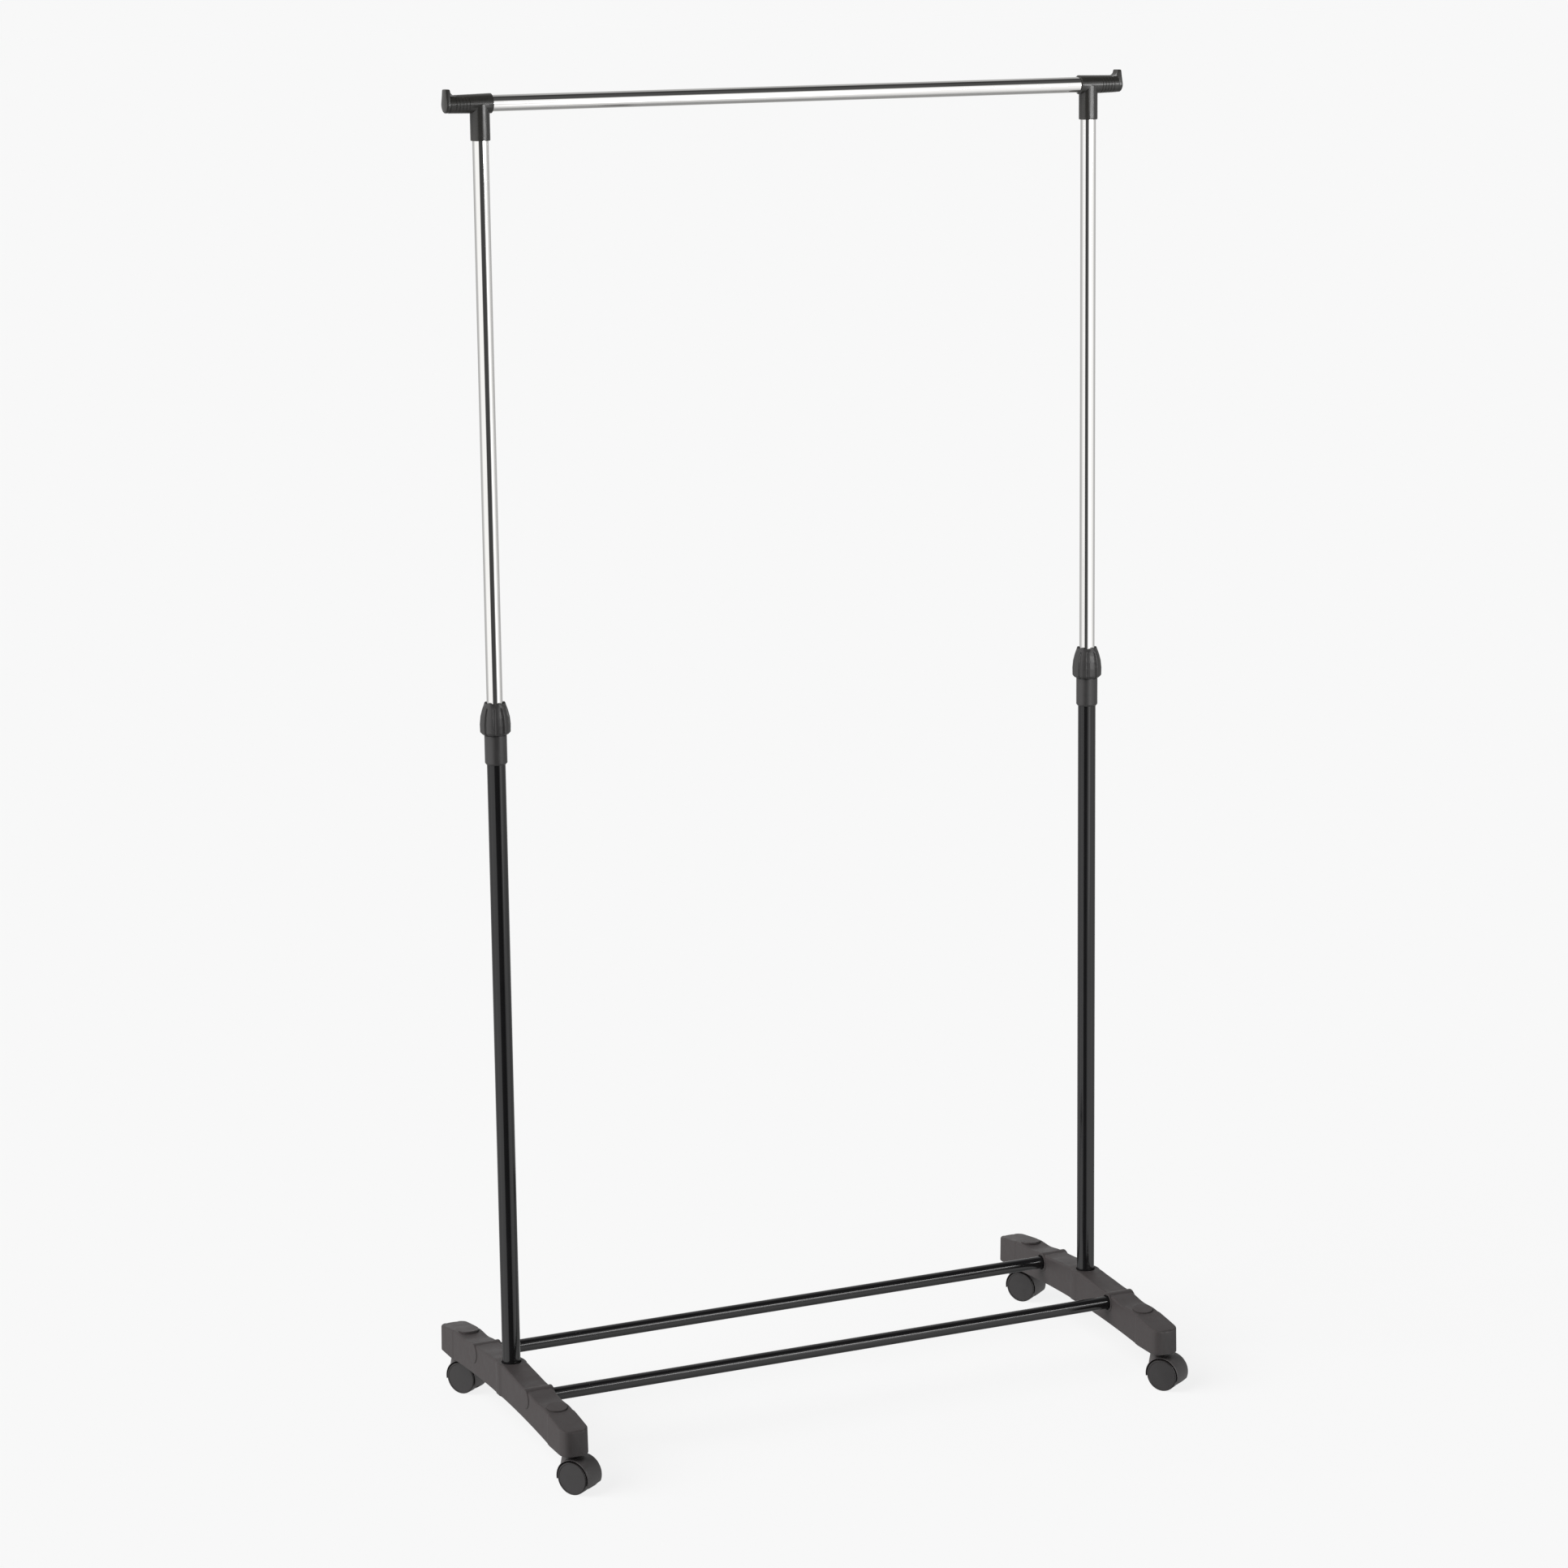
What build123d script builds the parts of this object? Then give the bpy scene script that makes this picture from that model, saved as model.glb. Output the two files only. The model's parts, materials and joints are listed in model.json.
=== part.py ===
"""Rolling clothes rack: one chromed hanging rail on two telescopic uprights, two bridge-shaped
moulded feet joined by two crossbars, and four hooded twin-wheel casters.

Frame: +X along the rail to the right, +Y to the back, +Z up. The origin is on the floor under
the middle of the rack. All sizes are millimetres.
"""
from build123d import *
from math import cos, radians, sin, sqrt
import os

# ---------------------------------------------------------------- overall sizes
upright_spacing = 786.0        # between the two upright axes
rail_height = 1599.0           # axis of the hanging rail above the floor, fully extended
lock_height = 832.0            # lower edge of the height lock above the floor
crossbar_spacing = 177.2       # between the two crossbar axes
caster_spacing = 377.2         # between the front and rear swivel axes of one foot
foot_length = 427.0

# ---------------------------------------------------------------- tubes
upper_tube_diameter = 19.0
upper_tube_wall = 0.8
lower_tube_diameter = 22.0
lower_tube_wall = 1.0
crossbar_diameter = 16.0
crossbar_wall = 0.8
tube_seat_clearance = 0.05     # radial, a tube pushed into a moulded socket
running_clearance = 0.08       # radial, a piece that slides or turns on another
free_clearance = 0.4           # radial, pieces that pass without guiding each other

# ---------------------------------------------------------------- feet
foot_width = 35.0
foot_arch_rise = 8.0           # how much higher the underside is in the middle
foot_arch_half = 168.0         # the arch starts this far from the middle
foot_hub_depth = 47.5          # top above the underside of the ends, where the upright stands
foot_end_depth = 30.5          # the same, at the two ends
crossbar_lift = 32.0           # crossbar axis above the underside of the ends
foot_wall = 3.2
foot_corner_radius = 13.0      # upright corners at the two ends
foot_top_radius = 3.0
hub_proud = 1.0                # the round hub stands out of each side
hub_floor = 4.0                # closed bottom of the upright's socket
barrel_wall = 5.45             # cross boss around a crossbar
barrel_proud = 0.8
crossbar_socket_depth = 26.0
socket_mouth_depth = 2.0
socket_mouth_step = 1.6        # radial step of the sunk ring around a socket
stem_post_wall = 2.95
stem_socket_depth = 28.0

# ---------------------------------------------------------------- plug caps on the feet
plug_spacing = 300.0           # between the two caps of one foot
plug_diameter = 25.0
plug_thickness = 2.6
plug_edge_radius = 0.9
plug_seat_depth = 1.2
plug_skirt_diameter = 21.0
plug_skirt_length = 7.0
plug_skirt_wall = 1.6

# ---------------------------------------------------------------- height lock
lock_sleeve_wall = 2.2
lock_sleeve_length = 35.0
lock_sleeve_seat = 30.0        # how deep the lower tube goes into the sleeve
lock_sleeve_chamfer = 0.8
lock_neck_wall = 2.8
lock_neck_length = 18.0
collet_length = 12.8
collet_rim_height = 1.0        # the collet's cone starts this far above its foot
collet_top_wall = 1.42
collet_slit = 2.0
knob_gap = 1.0                 # between the sleeve's shoulder and the knob
knob_length = 38.0
knob_rib_wall = 5.37           # from the neck's bore to the top of a rib
knob_rim_wall = 1.5
knob_foot_wall = 3.2
knob_wide_height = 12.0        # widest point above the knob's lower edge
knob_bevel_height = 4.0
knob_rib_top = 29.0            # where the ribs run out, above the lower edge
knob_shoulder_wall = 3.9       # over the collet's cone, where the ribs run out
knob_flute_diameter = 5.2
knob_flute_count = 10
knob_flute_depth = 1.7
knob_top_clearance = 0.5       # radial, rim around the upper tube

# ---------------------------------------------------------------- upper frame
upper_tube_insertion = 116.0   # length below the knob's rim when fully extended
guide_bush_flange = 6.0
guide_bush_spigot = 14.0
guide_bush_chamfer = 1.0

# ---------------------------------------------------------------- rail connectors
sleeve_drop = 42.0             # lower edge of the connector's sleeve below the rail axis
connector_wall = 1.95
connector_taper = 2.4          # how much thinner the body is at its end plate
connector_inboard = 13.7       # from the upright axis to the face on the rail's side
connector_outboard = 37.0      # from the upright axis to the inner face of the end plate
end_plate_thickness = 6.0
end_plate_lip = 1.0            # below the connector's body
end_plate_tab = 5.5            # the tab above the body that keeps hangers from sliding off
end_plate_tab_width = 14.0
end_plate_chamfer = 1.2
rail_overlap = 12.0            # the rail reaches this far past the upright axis
rail_end_gap = 1.0             # from the rail's end to the bottom of its bore
connector_web = 3.0            # between the rail's bore and the upright's bore
grip_groove_count = 5
grip_groove_pitch = 4.4
grip_groove_width = 1.5
grip_groove_depth = 0.7
grip_groove_start = 14.6       # first groove from the upright axis

# ---------------------------------------------------------------- casters
wheel_diameter = 40.0
wheel_width = 12.5
wheel_edge_radius = 1.6
wheel_side_gap = 0.5           # between a wheel and the hood's middle web
web_thickness = 6.2
hood_gap = 1.3                 # radial, around a wheel's tread
hood_wall = 1.9
hood_width = 30.0
hood_lead_angle = 10.0         # below the axle, at the leading edge
hood_trail_angle = 21.0        # below the axle, at the trailing edge
caster_trail = 12.5            # axle behind the swivel axis
caster_heading = 35.0          # direction of all four axles from +X, as the rack stands
swivel_boss_wall = 5.0         # around the stem
swivel_boss_rise = 3.3         # above the hood's highest point
swivel_boss_gap = 0.6          # under the stem socket's flange
axle_diameter = 5.0
axle_chamfer = 0.4
axle_end_cover = 1.5           # closed outer face of a wheel over the axle
stem_diameter = 8.0
stem_depth_in_hood = 7.0
stem_tip_gap = 1.5
stem_tip_chamfer = 1.0
stem_socket_wall = 2.42
stem_flange_step = 2.5         # radial, beyond the sleeve
stem_flange_thickness = 1.4

# ---------------------------------------------------------------- places that follow
hub_diameter = foot_width + 2 * hub_proud
barrel_diameter = crossbar_diameter + 2 * (tube_seat_clearance + barrel_wall)
lock_sleeve_diameter = lower_tube_diameter + 2 * (tube_seat_clearance + lock_sleeve_wall)
lock_neck_diameter = upper_tube_diameter + 2 * (free_clearance + lock_neck_wall)
collet_top_diameter = upper_tube_diameter + 2 * (running_clearance + collet_top_wall)
knob_bore_diameter = lock_neck_diameter + 2 * running_clearance
knob_diameter = knob_bore_diameter + 2 * knob_rib_wall
knob_foot_diameter = knob_bore_diameter + 2 * knob_foot_wall
knob_shoulder_diameter = collet_top_diameter + 2 * (free_clearance + knob_shoulder_wall)
knob_rim_bore_diameter = upper_tube_diameter + 2 * knob_top_clearance
knob_rim_diameter = knob_rim_bore_diameter + 2 * knob_rim_wall
connector_diameter = upper_tube_diameter + 2 * (tube_seat_clearance + connector_wall)
connector_end_diameter = connector_diameter - connector_taper
rail_bore_end = rail_overlap + rail_end_gap
stem_socket_diameter = stem_diameter + 2 * (running_clearance + stem_socket_wall)
stem_flange_diameter = stem_socket_diameter + 2 * stem_flange_step
stem_post_diameter = stem_socket_diameter + 2 * (tube_seat_clearance + stem_post_wall)
swivel_boss_diameter = stem_diameter + 2 * swivel_boss_wall
upright_x = upright_spacing / 2
crossbar_y = crossbar_spacing / 2
caster_y = caster_spacing / 2
foot_half = foot_length / 2
axle_height = wheel_diameter / 2
hood_radius = wheel_diameter / 2 + hood_gap + hood_wall
hood_boss_top = axle_height + hood_radius + swivel_boss_rise
flange_bottom = hood_boss_top + swivel_boss_gap
foot_end_underside = flange_bottom + stem_flange_thickness
foot_hub_top = foot_end_underside + foot_hub_depth
foot_end_top = foot_end_underside + foot_end_depth
crossbar_height = foot_end_underside + crossbar_lift
hub_socket_bottom = foot_end_underside + foot_arch_rise + hub_floor
lock_shoulder = lock_height + lock_sleeve_length
lower_tube_top = lock_height + lock_sleeve_seat
neck_top = lock_shoulder + lock_neck_length
knob_bottom = lock_shoulder + knob_gap
knob_top = knob_bottom + knob_length
upper_tube_bottom = knob_top - upper_tube_insertion
upper_tube_top = rail_height - upper_tube_diameter / 2 - connector_web
stem_socket_top = foot_end_underside + stem_socket_depth
stem_bottom = hood_boss_top - stem_depth_in_hood
stem_top = stem_socket_top - stem_tip_gap

SIDES = {"left": -1, "right": 1}
ENDS = {"front": -1, "rear": 1}

os.makedirs("parts", exist_ok=True)


def save(piece, name):
    """Label a finished piece and write it as its own STEP file."""
    piece.part.label = name
    export_step(piece.part, f"parts/{name}.step")


crown_sag = foot_hub_top - foot_end_top
crown_radius = (foot_half ** 2 + crown_sag ** 2) / (2 * crown_sag)


def foot_crown(y):
    """Height of a foot's crowned top at y, on the arc through both ends and the hub."""
    return foot_hub_top - crown_radius + sqrt(crown_radius ** 2 - y ** 2)


# ---------------------------------------------------------------- feet
def make_foot(side):
    """A moulded bridge: a hollow arm, open below, with sockets for the upright, bars and stems."""
    x = side * upright_x
    middle = Plane.YZ.offset(x)
    hub_underside = foot_end_underside + foot_arch_rise
    inner_half = foot_half - foot_wall
    ceiling = foot_crown(inner_half) - foot_wall
    with BuildPart() as foot:
        # outer shape: crowned top, upright ends, arched underside
        with BuildSketch(middle):
            with BuildLine():
                ThreePointArc((-foot_half, foot_end_top), (0, foot_hub_top), (foot_half, foot_end_top))
                Line((foot_half, foot_end_top), (foot_half, foot_end_underside))
                Line((foot_half, foot_end_underside), (foot_arch_half, foot_end_underside))
                ThreePointArc(
                    (foot_arch_half, foot_end_underside),
                    (0, hub_underside),
                    (-foot_arch_half, foot_end_underside),
                )
                Line((-foot_arch_half, foot_end_underside), (-foot_half, foot_end_underside))
                Line((-foot_half, foot_end_underside), (-foot_half, foot_end_top))
            make_face()
        extrude(amount=foot_width / 2, both=True)
        end_corners = foot.edges().filter_by(Axis.Z)
        fillet(end_corners, radius=foot_corner_radius)
        fillet(foot.faces().sort_by(Axis.Z)[-1].edges(), radius=foot_top_radius)

        # hollow underneath, one wall thick at the top and the sides
        with BuildSketch(middle):
            with BuildLine():
                ThreePointArc((-inner_half, ceiling), (0, foot_hub_top - foot_wall), (inner_half, ceiling))
                Polyline((inner_half, ceiling), (inner_half, 0), (-inner_half, 0), (-inner_half, ceiling))
            make_face()
        extrude(amount=foot_width / 2 - foot_wall, both=True, mode=Mode.SUBTRACT)

        # hub for the upright
        with BuildSketch(Plane.XY.offset(hub_underside)):
            with Locations((x, 0)):
                Circle(hub_diameter / 2)
        extrude(amount=foot_hub_top - hub_underside)

        # cross barrels for the two bars
        with BuildSketch(Plane.YZ.offset(x)):
            with Locations((-crossbar_y, crossbar_height), (crossbar_y, crossbar_height)):
                Circle(barrel_diameter / 2)
        extrude(amount=foot_width / 2 + barrel_proud, both=True)

        # posts for the caster stems
        with BuildSketch(Plane.XY.offset(foot_end_underside)):
            with Locations((x, -caster_y), (x, caster_y)):
                Circle(stem_post_diameter / 2)
        extrude(amount=foot_crown(caster_y) - foot_wall / 2 - foot_end_underside)

        # the upright's socket
        with BuildSketch(Plane.XY.offset(hub_socket_bottom)):
            with Locations((x, 0)):
                Circle(lower_tube_diameter / 2 + tube_seat_clearance)
        extrude(amount=foot_hub_top, mode=Mode.SUBTRACT)

        # the bars' sockets, open towards the other foot, with a sunk ring at the mouth
        inner_face = Plane.YZ.offset(x - side * (foot_width / 2 + barrel_proud))
        bar_places = [(-crossbar_y, crossbar_height), (crossbar_y, crossbar_height)]
        for depth, step in ((crossbar_socket_depth, 0), (socket_mouth_depth, socket_mouth_step)):
            with BuildSketch(inner_face):
                with Locations(*bar_places):
                    Circle(crossbar_diameter / 2 + tube_seat_clearance + step)
            extrude(amount=side * depth, mode=Mode.SUBTRACT)

        # the stems' sockets, open below
        with BuildSketch(Plane.XY.offset(foot_end_underside)):
            with Locations((x, -caster_y), (x, caster_y)):
                Circle(stem_socket_diameter / 2 + tube_seat_clearance)
        extrude(amount=stem_socket_depth, mode=Mode.SUBTRACT)

        # holes and sunk seats for the plug caps
        for end in ENDS.values():
            for radius, below, above in (
                (plug_skirt_diameter / 2 + tube_seat_clearance, foot_wall * 2, foot_wall),
                (plug_diameter / 2 + tube_seat_clearance, plug_seat_depth, foot_wall),
            ):
                with BuildSketch(plug_plane(side, end).offset(-below)):
                    Circle(radius)
                extrude(amount=below + above, mode=Mode.SUBTRACT)
    return foot


def plug_plane(side, end):
    """Plane square to the foot's crowned top where a plug cap sits."""
    y = end * plug_spacing / 2
    slope = y / crown_radius
    origin = (side * upright_x, y, foot_crown(y))
    return Plane(origin=origin, x_dir=(1, 0, 0), z_dir=(0, slope, sqrt(1 - slope ** 2)))


def make_plug_cap(side, end):
    """A round push-in cap: a low crowned disc on a short skirt."""
    plane = plug_plane(side, end)
    with BuildPart() as cap:
        with BuildSketch(plane.offset(-plug_seat_depth)):
            Circle(plug_diameter / 2)
        extrude(amount=plug_thickness)
        fillet(cap.edges().sort_by(Axis.Z)[-1], radius=plug_edge_radius)
        with BuildSketch(plane.offset(-plug_seat_depth)):
            Circle(plug_skirt_diameter / 2)
            Circle(plug_skirt_diameter / 2 - plug_skirt_wall, mode=Mode.SUBTRACT)
        extrude(amount=-plug_skirt_length)
    return cap


# ---------------------------------------------------------------- tubes
def make_tube(plane, start, length, diameter, wall):
    """A straight round tube along the plane's normal."""
    with BuildPart() as tube:
        with BuildSketch(plane.offset(start)):
            Circle(diameter / 2)
            Circle(diameter / 2 - wall, mode=Mode.SUBTRACT)
        extrude(amount=length)
    return tube


def make_crossbar(end):
    """Lower bar between the feet, pushed into both sockets."""
    socket_end = upright_x - foot_width / 2 - barrel_proud + crossbar_socket_depth
    half = socket_end - free_clearance
    plane = Plane(origin=(0, end * crossbar_y, crossbar_height), x_dir=(0, 1, 0), z_dir=(1, 0, 0))
    return make_tube(plane, -half, 2 * half, crossbar_diameter, crossbar_wall)


# ---------------------------------------------------------------- height lock
def make_lock_sleeve(side):
    """Sleeve pressed over the lower tube, with the round neck that the knob turns on."""
    axis = Plane(origin=(side * upright_x, 0, 0), x_dir=(1, 0, 0), z_dir=(0, -1, 0))
    bore = upper_tube_diameter / 2 + free_clearance
    seat = lower_tube_diameter / 2 + tube_seat_clearance
    with BuildPart() as sleeve:
        with BuildSketch(axis):
            with BuildLine():
                Polyline(
                    (seat, lock_height),
                    (lock_sleeve_diameter / 2, lock_height),
                    (lock_sleeve_diameter / 2, lock_shoulder),
                    (lock_neck_diameter / 2, lock_shoulder),
                    (lock_neck_diameter / 2, neck_top),
                    (bore, neck_top),
                    (bore, lower_tube_top),
                    (seat, lower_tube_top),
                    close=True,
                )
            make_face()
        revolve(axis=Axis((side * upright_x, 0, 0), (0, 0, 1)))
        lower_edges = sleeve.edges().filter_by(GeomType.CIRCLE).group_by(Axis.Z)[0]
        outer_edge = lower_edges.sort_by(SortBy.RADIUS)[-1]
        chamfer(outer_edge, length=lock_sleeve_chamfer)
    return sleeve


def make_collet(side):
    """Split ring on top of the neck, squeezed onto the upper tube by the knob's cone."""
    axis = Plane(origin=(side * upright_x, 0, 0), x_dir=(1, 0, 0), z_dir=(0, -1, 0))
    bore = upper_tube_diameter / 2 + running_clearance
    with BuildPart() as collet:
        with BuildSketch(axis):
            with BuildLine():
                Polyline(
                    (bore, neck_top),
                    (lock_neck_diameter / 2 - free_clearance, neck_top),
                    (lock_neck_diameter / 2 - free_clearance, neck_top + collet_rim_height),
                    (collet_top_diameter / 2, neck_top + collet_length),
                    (bore, neck_top + collet_length),
                    close=True,
                )
            make_face()
        revolve(axis=Axis((side * upright_x, 0, 0), (0, 0, 1)))
        with Locations((side * (upright_x + lock_neck_diameter / 2), 0, neck_top + collet_length / 2)):
            Box(lock_neck_diameter, collet_slit, collet_length * 2, mode=Mode.SUBTRACT)
    return collet


def make_lock_knob(side):
    """Fluted clamping knob: screw it down to lock the height."""
    axis = Plane(origin=(side * upright_x, 0, 0), x_dir=(1, 0, 0), z_dir=(0, -1, 0))
    neck_bore = knob_bore_diameter / 2
    cone_top = collet_top_diameter / 2 + free_clearance
    rim_bore = knob_rim_bore_diameter / 2
    collet_top = neck_top + collet_length + free_clearance
    with BuildPart() as knob:
        with BuildSketch(axis):
            with BuildLine():
                Polyline(
                    (neck_bore, knob_bottom),
                    (knob_foot_diameter / 2, knob_bottom),
                    (knob_diameter / 2, knob_bottom + knob_bevel_height),
                    (knob_diameter / 2, knob_bottom + knob_wide_height),
                    (knob_shoulder_diameter / 2, knob_bottom + knob_rib_top),
                    (knob_rim_diameter / 2, knob_top),
                    (rim_bore, knob_top),
                    (rim_bore, collet_top + cone_top - rim_bore),
                    (cone_top, collet_top),
                    (neck_bore, neck_top + collet_rim_height),
                    close=True,
                )
            make_face()
        revolve(axis=Axis((side * upright_x, 0, 0), (0, 0, 1)))
        flute_radius = knob_diameter / 2 - knob_flute_depth + knob_flute_diameter / 2
        with BuildSketch(Plane(origin=(side * upright_x, 0, knob_bottom))):
            with PolarLocations(flute_radius, knob_flute_count):
                Circle(knob_flute_diameter / 2)
        extrude(amount=knob_length, mode=Mode.SUBTRACT)
    return knob


# ---------------------------------------------------------------- upper frame
def make_guide_bush(side):
    """Plastic end of an upper tube that runs inside the lower tube."""
    flange_radius = lower_tube_diameter / 2 - lower_tube_wall - running_clearance
    spigot_radius = upper_tube_diameter / 2 - upper_tube_wall - tube_seat_clearance
    with BuildPart() as bush:
        with BuildSketch(Plane.XY.offset(upper_tube_bottom)):
            with Locations((side * upright_x, 0)):
                Circle(flange_radius)
        extrude(amount=-guide_bush_flange)
        chamfer(bush.edges().sort_by(Axis.Z)[0], length=guide_bush_chamfer)
        with BuildSketch(Plane.XY.offset(upper_tube_bottom)):
            with Locations((side * upright_x, 0)):
                Circle(spigot_radius)
        extrude(amount=guide_bush_spigot)
    return bush


def make_rail_connector(side):
    """Moulded T that joins an upright to the rail and ends in a raised hanger stop."""
    x = side * upright_x
    inboard = x - side * connector_inboard
    outboard = x + side * connector_outboard
    rail_plane = Plane(origin=(inboard, 0, rail_height), x_dir=(0, 1, 0), z_dir=(side, 0, 0))
    sleeve_bottom = rail_height - sleeve_drop
    seat = upper_tube_diameter / 2 + tube_seat_clearance
    with BuildPart() as connector:
        # tapered body along the rail
        with BuildSketch(rail_plane):
            Circle(connector_diameter / 2)
        with BuildSketch(rail_plane.offset(connector_inboard + connector_outboard)):
            Circle(connector_end_diameter / 2)
        loft()
        # sleeve on the upright
        with BuildSketch(Plane.XY.offset(sleeve_bottom)):
            with Locations((x, 0)):
                Circle(connector_diameter / 2)
        extrude(amount=sleeve_drop)
        # end plate with its raised tab
        half = connector_diameter / 2
        with BuildSketch(Plane(origin=(outboard, 0, rail_height), x_dir=(0, 1, 0), z_dir=(1, 0, 0))):
            with BuildLine():
                Polyline(
                    (-half, -half / 2),
                    (-end_plate_tab_width / 2, -half - end_plate_lip),
                    (end_plate_tab_width / 2, -half - end_plate_lip),
                    (half, -half / 2),
                    (half, half / 2),
                    (end_plate_tab_width / 2, half + end_plate_tab),
                    (-end_plate_tab_width / 2, half + end_plate_tab),
                    (-half, half / 2),
                    close=True,
                )
            make_face()
        extrude(amount=side * end_plate_thickness)
        chamfer(connector.faces().sort_by(Axis.X)[0 if side < 0 else -1].edges(), length=end_plate_chamfer)
        # grip grooves around the body
        for index in range(grip_groove_count):
            at = connector_inboard + grip_groove_start + index * grip_groove_pitch
            taper = (connector_diameter - connector_end_diameter) / 2
            surface = connector_diameter / 2 - taper * at / (connector_inboard + connector_outboard)
            with BuildSketch(rail_plane.offset(at - grip_groove_width / 2)):
                Circle(connector_diameter)
                Circle(surface - grip_groove_depth, mode=Mode.SUBTRACT)
            extrude(amount=grip_groove_width, mode=Mode.SUBTRACT)
        # bores for the rail and the upright
        with BuildSketch(rail_plane):
            Circle(seat)
        extrude(amount=connector_inboard + rail_bore_end, mode=Mode.SUBTRACT)
        with BuildSketch(Plane.XY.offset(sleeve_bottom)):
            with Locations((x, 0)):
                Circle(seat)
        extrude(amount=upper_tube_top - sleeve_bottom, mode=Mode.SUBTRACT)
    return connector


# ---------------------------------------------------------------- casters
def caster_frame(side, end):
    """Swivel centre on the floor, axle direction and trailing direction of one caster."""
    heading = radians(caster_heading)
    centre = Vector(side * upright_x, end * caster_y, 0)
    axle = Vector(cos(heading), sin(heading), 0)
    trail = Vector(sin(heading), -cos(heading), 0)
    return centre, axle, trail


def wheel_plane(side, end):
    """Plane across the axle at the caster's middle: x trails, y is up, the normal is along the axle."""
    centre, axle, trail = caster_frame(side, end)
    origin = centre + trail * caster_trail + Vector(0, 0, axle_height)
    return Plane(origin=origin, x_dir=trail, z_dir=axle * -1)


def make_caster_hood(side, end):
    """Hooded caster body: middle web, curved hood over both wheels and the swivel boss."""
    centre = caster_frame(side, end)[0]
    plane = wheel_plane(side, end)
    inside_radius = hood_radius - hood_wall
    lead = radians(180 + hood_lead_angle)
    tail = radians(-hood_trail_angle)
    with BuildPart() as hood:
        with BuildSketch(plane):
            Circle(hood_radius)
        extrude(amount=hood_width / 2, both=True)
        with BuildSketch(Plane.XY.offset(hood_boss_top)):
            with Locations((centre.X, centre.Y)):
                Circle(swivel_boss_diameter / 2)
        extrude(amount=-(hood_boss_top - axle_height))
        # room for the two wheels
        for hand in (-1, 1):
            with BuildSketch(plane.offset(hand * web_thickness / 2)):
                Circle(inside_radius)
            extrude(amount=hand * hood_width, mode=Mode.SUBTRACT)
        # open below the leading and the trailing edge
        with BuildSketch(plane):
            with BuildLine():
                Polyline(
                    (2 * hood_radius * cos(lead), hood_radius * sin(lead)),
                    (hood_radius * cos(lead), hood_radius * sin(lead)),
                    (hood_radius * cos(tail), hood_radius * sin(tail)),
                    (2 * hood_radius, hood_radius * sin(tail)),
                    (2 * hood_radius, -2 * hood_radius),
                    (-2 * hood_radius, -2 * hood_radius),
                    close=True,
                )
            make_face()
        extrude(amount=hood_width, both=True, mode=Mode.SUBTRACT)
        # holes for the axle and the stem
        with BuildSketch(plane):
            Circle(axle_diameter / 2)
        extrude(amount=web_thickness, both=True, mode=Mode.SUBTRACT)
        with BuildSketch(Plane.XY.offset(hood_boss_top)):
            with Locations((centre.X, centre.Y)):
                Circle(stem_diameter / 2)
        extrude(amount=-stem_depth_in_hood, mode=Mode.SUBTRACT)
    return hood


def make_caster_wheel(side, end, hand):
    """One of the two wheels: a moulded disc, closed over the axle's end; hand +1 is the left one."""
    plane = wheel_plane(side, end)
    inner = web_thickness / 2 + wheel_side_gap
    with BuildPart() as wheel:
        with BuildSketch(plane.offset(hand * inner)):
            Circle(wheel_diameter / 2)
        extrude(amount=hand * wheel_width)
        fillet(wheel.edges().filter_by(GeomType.CIRCLE), radius=wheel_edge_radius)
        with BuildSketch(plane.offset(hand * inner)):
            Circle(axle_diameter / 2 + running_clearance)
        extrude(amount=hand * (wheel_width - axle_end_cover), mode=Mode.SUBTRACT)
    return wheel


def make_caster_axle(side, end):
    """Steel pin pressed through the web, one wheel on each end."""
    half = web_thickness / 2 + wheel_side_gap + wheel_width - axle_end_cover - free_clearance
    with BuildPart() as axle:
        with BuildSketch(wheel_plane(side, end).offset(-half)):
            Circle(axle_diameter / 2)
        extrude(amount=2 * half)
        chamfer(axle.edges().filter_by(GeomType.CIRCLE), length=axle_chamfer)
    return axle


def make_caster_stem(side, end):
    """Steel stem pressed into the hood's boss; it turns in the foot's socket sleeve."""
    with BuildPart() as stem:
        with BuildSketch(Plane.XY.offset(stem_bottom)):
            with Locations((side * upright_x, end * caster_y)):
                Circle(stem_diameter / 2)
        extrude(amount=stem_top - stem_bottom)
        chamfer(stem.edges().sort_by(Axis.Z)[-1], length=stem_tip_chamfer)
    return stem


def make_stem_socket(side, end):
    """Plastic sleeve in the foot with a flange under it, closed at the top."""
    with BuildPart() as socket:
        with BuildSketch(Plane.XY.offset(flange_bottom)):
            with Locations((side * upright_x, end * caster_y)):
                Circle(stem_flange_diameter / 2)
        extrude(amount=stem_flange_thickness)
        with BuildSketch(Plane.XY.offset(foot_end_underside)):
            with Locations((side * upright_x, end * caster_y)):
                Circle(stem_socket_diameter / 2)
        extrude(amount=stem_socket_depth)
        with BuildSketch(Plane.XY.offset(flange_bottom)):
            with Locations((side * upright_x, end * caster_y)):
                Circle(stem_diameter / 2 + running_clearance)
        extrude(amount=stem_top + stem_tip_gap / 2 - flange_bottom, mode=Mode.SUBTRACT)
    return socket


# ---------------------------------------------------------------- build and write every piece
for end_name, end in ENDS.items():
    save(make_crossbar(end), f"{end_name}_crossbar")

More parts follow.
